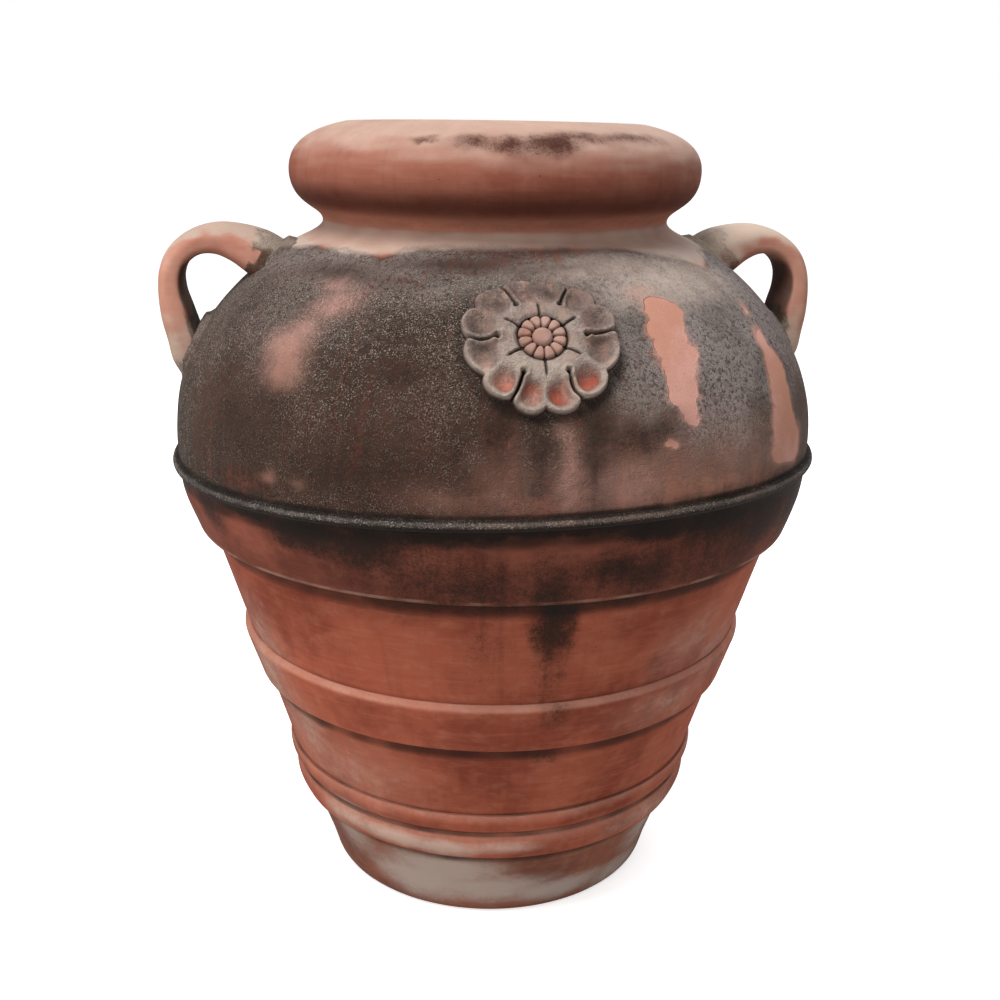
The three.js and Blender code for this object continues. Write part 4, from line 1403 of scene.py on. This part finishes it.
# heights over the belly in mm, and the depth of each dip
PETAL_HEIGHT = 9
BOWL_DEPTH = 7.5
SLIT_DEPTH = 13
EYE_DEPTH = 9
CREASE_DEPTH = 4
CREASE_END = 47
BOWL_PLACE = 64
BOWL_LENGTH, BOWL_WIDTH = 18, 15
PETAL_GAP = 0.3
SLIT_BEND = 0.085
PETAL_DEPTHS = (1.0, 0.9, 1.05, 1.0, 1.1, 0.92)
# how much of its height the top of the rosette lost to wear, and where that starts and ends
WORN_AWAY = 0.72
WORN_FROM, WORN_TO = 16, 82
print(f"rosette is {2 * ROSETTE_RADIUS} mm across")


# %% Bend a relief onto the belly
def bent(x, y, height):
    """Bends a flat relief onto the belly, in front of the jar."""
    radius, level = off_belly(ROSETTE_CLIMB + y, height)
    turn = x / off_belly(ROSETTE_CLIMB + y, 0)[0]
    return np.column_stack([radius * np.sin(turn), -radius * np.cos(turn), level])


def bump(distance, width):
    """A soft bell: 1 in the middle, and gone beyond about twice the width."""
    return np.exp(-(distance / width) ** 2)


print("rosette's middle lies at", bent(np.zeros(1), np.zeros(1), np.zeros(1))[0].round(1))

# %% Outline, bowls and slits of a petal
def petal_edge(turn):
    """Outer radius of a petal at an angle from its middle: two round lobes and a notch."""
    off = np.abs(turn) - LOBE_TURN
    middle = ROSETTE_RADIUS - LOBE_RADIUS
    return middle * np.cos(off) + np.sqrt(LOBE_RADIUS ** 2 - (middle * np.sin(off)) ** 2)


def petal_bowl(radius, turn):
    """Depth, from 0 to 1, of the two hollows of a petal."""
    across = radius * np.sin(np.abs(turn) - LOBE_TURN)
    along = radius * np.cos(np.abs(turn) - LOBE_TURN) - BOWL_PLACE
    reach = np.hypot(along / BOWL_LENGTH, (across - 2 * np.sign(across)) / BOWL_WIDTH)
    return ramp(1.15 - reach, 0, 1.15)


def slit_bend(radius, heading):
    """How far a slit strays from a straight line, as an angle."""
    run = np.clip((radius - EYE_PLACE) / (ROSETTE_RADIUS - EYE_PLACE), 0, 1)
    return SLIT_BEND * np.sin(math.pi * run) * np.sin(2 * heading + 0.6)


def from_slit(radius, turn):
    """Distance to the nearer slit, and to the eye at its end, in mm."""
    to_slit = radius * np.sin(np.maximum(math.pi / PETALS - np.abs(turn), 0))
    return to_slit, np.hypot(radius - EYE_PLACE, to_slit)


print(f"a petal's lobes reach {petal_edge(LOBE_TURN):.1f} mm out, its notch {petal_edge(0):.1f}")

# %% Height of a petal, and the painted shade in its dips
def petal_height(radius, turn):
    """Height of a petal at a radius and an angle from its middle line."""
    side = radius * np.sin(turn)
    to_slit, eye = from_slit(radius, turn)
    to_edge = petal_edge(turn) - radius
    beyond_eye = ramp(radius, EYE_PLACE - 1, EYE_PLACE + 4)
    crease = ramp(CREASE_END - radius, 0, 8)
    height = PETAL_HEIGHT + 3 * bump(radius - 37, 10)
    height -= BOWL_DEPTH * petal_bowl(radius, turn)
    height += 3 * bump(to_edge - 6, 5) * ramp(np.abs(side), 0, 10)
    height += 3.5 * bump(to_slit - 4.6, 2.8) * beyond_eye
    height -= SLIT_DEPTH * bump(to_slit, 1.3) * beyond_eye
    height += 3 * bump(eye - 5, 2.4)
    height -= EYE_DEPTH * bump(eye, 2.0)
    height -= CREASE_DEPTH * bump(side, 0.9 + 0.5 * crease) * crease
    return height - 2.0 * ramp(30 - radius, 0, 3)


def petal_shade(radius, turn):
    """Painted shade lies in the slits, eyes and creases of a petal and at its foot by the cup.
    """
    to_slit, eye = from_slit(radius, turn)
    slit = bump(to_slit, 1.5) * ramp(radius, EYE_PLACE - 1, EYE_PLACE + 3)
    crease = 0.9 * bump(radius * np.sin(turn), 1.4) * ramp(CREASE_END - radius, 0, 8)
    return np.maximum.reduce([slit, bump(eye, 2.4), crease, 0.7 * ramp(28.5 - radius, 0, 2)])


print(f"a bowl's floor is {petal_height(BOWL_PLACE, LOBE_TURN):.1f} mm over the belly")

# %% Press the six petals
def petal(index):
    out = np.sin(np.linspace(0, math.pi / 2, PETAL_ROWS))
    turn = np.linspace(-math.pi / PETALS, math.pi / PETALS, PETAL_COLUMNS)
    out, turn = (values.ravel() for values in np.meshgrid(out, turn, indexing="ij"))
    edge = petal_edge(turn)
    radius = CUP_RADIUS + PETAL_GAP + (edge - CUP_RADIUS - PETAL_GAP) * out
    height = petal_height(radius, turn)
    rolled = np.sqrt(np.clip(1 - ramp(out, 0.9, 1.0) ** 2, 0, 1))
    height *= 1 + (PETAL_DEPTHS[index] - 1) * ramp(radius, EYE_PLACE, EYE_PLACE + 14)
    heading = math.pi / 2 - 2 * math.pi * index / PETALS + turn
    heading += slit_bend(radius, heading)
    x, y = radius * np.cos(heading), radius * np.sin(heading)
    worn = 1 - WORN_AWAY * ramp(y, WORN_FROM, WORN_TO)
    height = -1 + (height + 1) * rolled * worn
    height += 0.25 * np.array([noise.noise(Vector((a, b, 0)) / 6) for a, b in zip(x, y)])
    bowl = petal_bowl(radius, turn)
    # painted shade in the dips, and under the rolled outer edge
    shade_and_dirt = np.maximum(petal_shade(radius, turn), ramp(out, 0.965, 0.995))
    lowest = ramp(-y, 0, 40)

    def dress(fields, places, ways):
        patch = np.clip(0.5 + clouds(places, 22, 6), 0, 1)
        fields["crust"] = (0.4 + 0.36 * patch) * (1 - 0.5 * lowest * bowl)
        # the bowls of the upper petals are darkened with soot and painted shade
        fields["soot"] = 0.4 * bowl * ramp(y, -30, 6) * patch
        fields["flaked"] = 0.7 * ramp(bowl, 0, 0.8) * ramp(-y, 20, 60) * (0.5 + 0.8 * patch)
        # the raised rims are pale with bloom and a painted highlight, most on the lower petals
        fields["bloom"] = (0.26 + 0.26 * lowest) * ramp(height, 5, 10) * (1 - bowl)
        fields["grey"] = np.full_like(bowl, 0.7)
        fields["shade_and_dirt"] = np.maximum(shade_and_dirt, 0.2 * bowl * (1 - lowest))

    places = bent(x, y, height)
    faces = [face[::-1] for face in
             grid_faces(PETAL_ROWS, PETAL_COLUMNS, wrap_columns=False)]
    return piece(f"rosette_petal_{index + 1}_relief", places, faces,
                 [f"rosette_petal_{index + 1}"], rosette_clay, uneven=False,
                 dress=dress)


for index in range(PETALS):
    petal(index)

# %% [markdown]
# ### The middle of the rosette
# The middle is a cup with a button and a ring of twelve seeds. Spheres pressed flat would
# leave gaps between them, but real seeds touch. So a seed is a small dome over a footprint
# that is drawn in towards the button, and its width grows outward.

# %% Measures of the cup, the button and the seeds
CUP_HEIGHT = 5
CUP_CROWN = 0.6
SEEDS = 12
BUTTON_RADIUS = 10.8
BUTTON_HEIGHT = 9
SEED_LENGTH = 14.2
SEED_HEIGHT = 7
print(f"a seed is {SEED_LENGTH} mm long, and the button {2 * BUTTON_RADIUS:.1f} mm wide")

# %% Raise a dome over a footprint
def dome(name, node, footprint, height, fullness, squareness=1, base=CUP_HEIGHT):
    """A dome over a footprint, which turns shares into x and y. A low fullness is blunt."""
    rows, columns = 20, 40
    lift = np.linspace(0, math.pi / 2, rows)
    turn = np.linspace(0, 2 * math.pi, columns, endpoint=False)
    lift, turn = (values.ravel() for values in np.meshgrid(lift, turn, indexing="ij"))
    out, up = np.cos(lift) ** fullness, np.sin(lift)
    ends = [np.sign(way) * np.abs(way) ** squareness for way in (np.cos(turn), np.sin(turn))]
    x, y = footprint(out * ends[0], out * ends[1])
    rise = base + height * up
    rise += 0.2 * np.array([noise.noise(Vector((a, b, 2)) / 4) for a, b in zip(x, y)])
    faces = grid_faces(rows, columns)
    faces.append([(rows - 1) * columns + i for i in range(columns)])
    foot = ramp(0.35 - up, 0, 0.35)

    def dress(fields, places, ways):
        cleared(fields, "flaked", "soot", "bloom")
        fields["crust"] = 0.12 + 0.3 * foot
        fields["grey"] = np.full_like(foot, 0.6)
        # painted shade at the foot of each seed and of the button, and over the whole cup
        # between them
        fields["shade_and_dirt"] = foot if base == CUP_HEIGHT else 1 + foot

    return piece(name, bent(x, y, rise), faces, [node], rosette_clay,
                 uneven=False, dress=dress)


# %% Place the cup, the button and the seeds
def disc(size):
    return lambda a, b: (a * size, b * size)


def seed_spot(index):
    heading = 2 * math.pi * (index + 0.5) / SEEDS
    middle = BUTTON_RADIUS + 0.2 + SEED_LENGTH / 2

    def footprint(a, b):
        out = middle + a * SEED_LENGTH / 2
        side = b * (out * math.tan(math.pi / SEEDS) - 0.1)
        return (out * math.cos(heading) - side * math.sin(heading),
                out * math.sin(heading) + side * math.cos(heading))
    return footprint


dome("rosette_cup_disc", "rosette_cup", disc(CUP_RADIUS), CUP_CROWN, 0.7,
     base=CUP_HEIGHT - CUP_CROWN)
dome("rosette_button_dome", "rosette_button", disc(BUTTON_RADIUS), BUTTON_HEIGHT, 0.45)
for index in range(SEEDS):
    dome(f"rosette_seed_{index + 1:02d}_dome", f"rosette_seed_{index + 1:02d}",
         seed_spot(index), SEED_HEIGHT, 0.42, squareness=0.72)

# %% [markdown]
# ## Floor, light and backdrop
# The jar stands alone on white, under a soft open sky. A small lamp would draw hard shadows,
# so a broad one high in front gives the light its direction, and the world fills the
# shadows. The floor is pale for the camera and darker for bounced light, so that the
# undersides of the bands stay dark, and it keeps the jar's shadow.

# %% Lay the floor
FLOOR_SIZE = 60
FLOOR_GLOW = 0.62


def floor_material():
    material = bpy.data.materials.new("pale_floor")
    material.use_nodes = True
    tree = material.node_tree
    tree.nodes.clear()
    seen = add(tree, "ShaderNodeLightPath", {}, {}, "Is Camera Ray")
    glossy = add(tree, "ShaderNodeLightPath", {}, {}, "Is Glossy Ray")
    shown = add(tree, "ShaderNodeMath", {"operation": "ADD", "use_clamp": True},
                {0: seen, 1: glossy})
    tone = coat(tree, linear("#b2aca6"), linear("#f4f4f4"), shown)
    matt = add(tree, "ShaderNodeBsdfDiffuse", {}, {"Color": tone})
    glow = add(tree, "ShaderNodeEmission", {},
               {"Color": linear("#ffffff"), "Strength": FLOOR_GLOW})
    lit = add(tree, "ShaderNodeAddShader", {}, {0: matt, 1: glow})
    mixed = add(tree, "ShaderNodeMixShader", {}, {0: shown, 1: matt, 2: lit})
    add(tree, "ShaderNodeOutputMaterial", {}, {"Surface": mixed}, slice(0, 0))
    return material


floor_mesh = bpy.data.meshes.new("floor")
half = FLOOR_SIZE / 2
floor_mesh.from_pydata([
    (-half, -half, 0), (half, -half, 0), (half, half, 0), (-half, half, 0),
], [], [(0, 1, 2, 3)])
floor_object = bpy.data.objects.new("floor", floor_mesh)
bpy.context.scene.collection.objects.link(floor_object)
floor_mesh.materials.append(floor_material())
print(f"floor is {FLOOR_SIZE} m wide")

# %% Light the scene
LAMP_AIM = Vector((0, 0, 0.5))


def soft_lamp(name, place, size, energy, tint):
    lamp = bpy.data.lights.new(name, "AREA")
    lamp.shape = "DISK"
    lamp.size = size
    lamp.energy = energy
    lamp.color = linear(tint)[:3]
    thing = bpy.data.objects.new(name, lamp)
    thing.location = place
    aim = LAMP_AIM - thing.location
    thing.rotation_euler = aim.to_track_quat("-Z", "Y").to_euler()
    bpy.context.scene.collection.objects.link(thing)
    print(f"{name}: {energy} W, {size} m wide")


soft_lamp("sky_lamp", Vector((-1.3, -1.2, 3.8)), 1.9, 128, "#fffdfa")
soft_lamp("fill_lamp", Vector((-2.8, -2.4, 1.1)), 2.2, 26, "#fffaf5")
soft_lamp("back_lamp", Vector((1.6, 2.2, 2.6)), 2.4, 40, "#fbfdff")

# %% Fill the shadows from the sky
SKY_LIGHT = 0.55
world = bpy.data.worlds.new("open_sky")
bpy.context.scene.world = world
world.use_nodes = True
tree = world.node_tree
tree.nodes.clear()
seen = add(tree, "ShaderNodeLightPath", {}, {}, "Is Camera Ray")
strength = add(tree, "ShaderNodeMapRange", {},
               {"Value": seen, "To Min": SKY_LIGHT, "To Max": 1.0})
sky = add(tree, "ShaderNodeBackground", {}, {"Color": linear("#ffffff"), "Strength": strength})
add(tree, "ShaderNodeOutputWorld", {}, {"Surface": sky}, slice(0, 0))
bpy.context.scene.view_settings.view_transform = "Standard"
print(f"the sky is white to the camera and lights the jar at {SKY_LIGHT}")
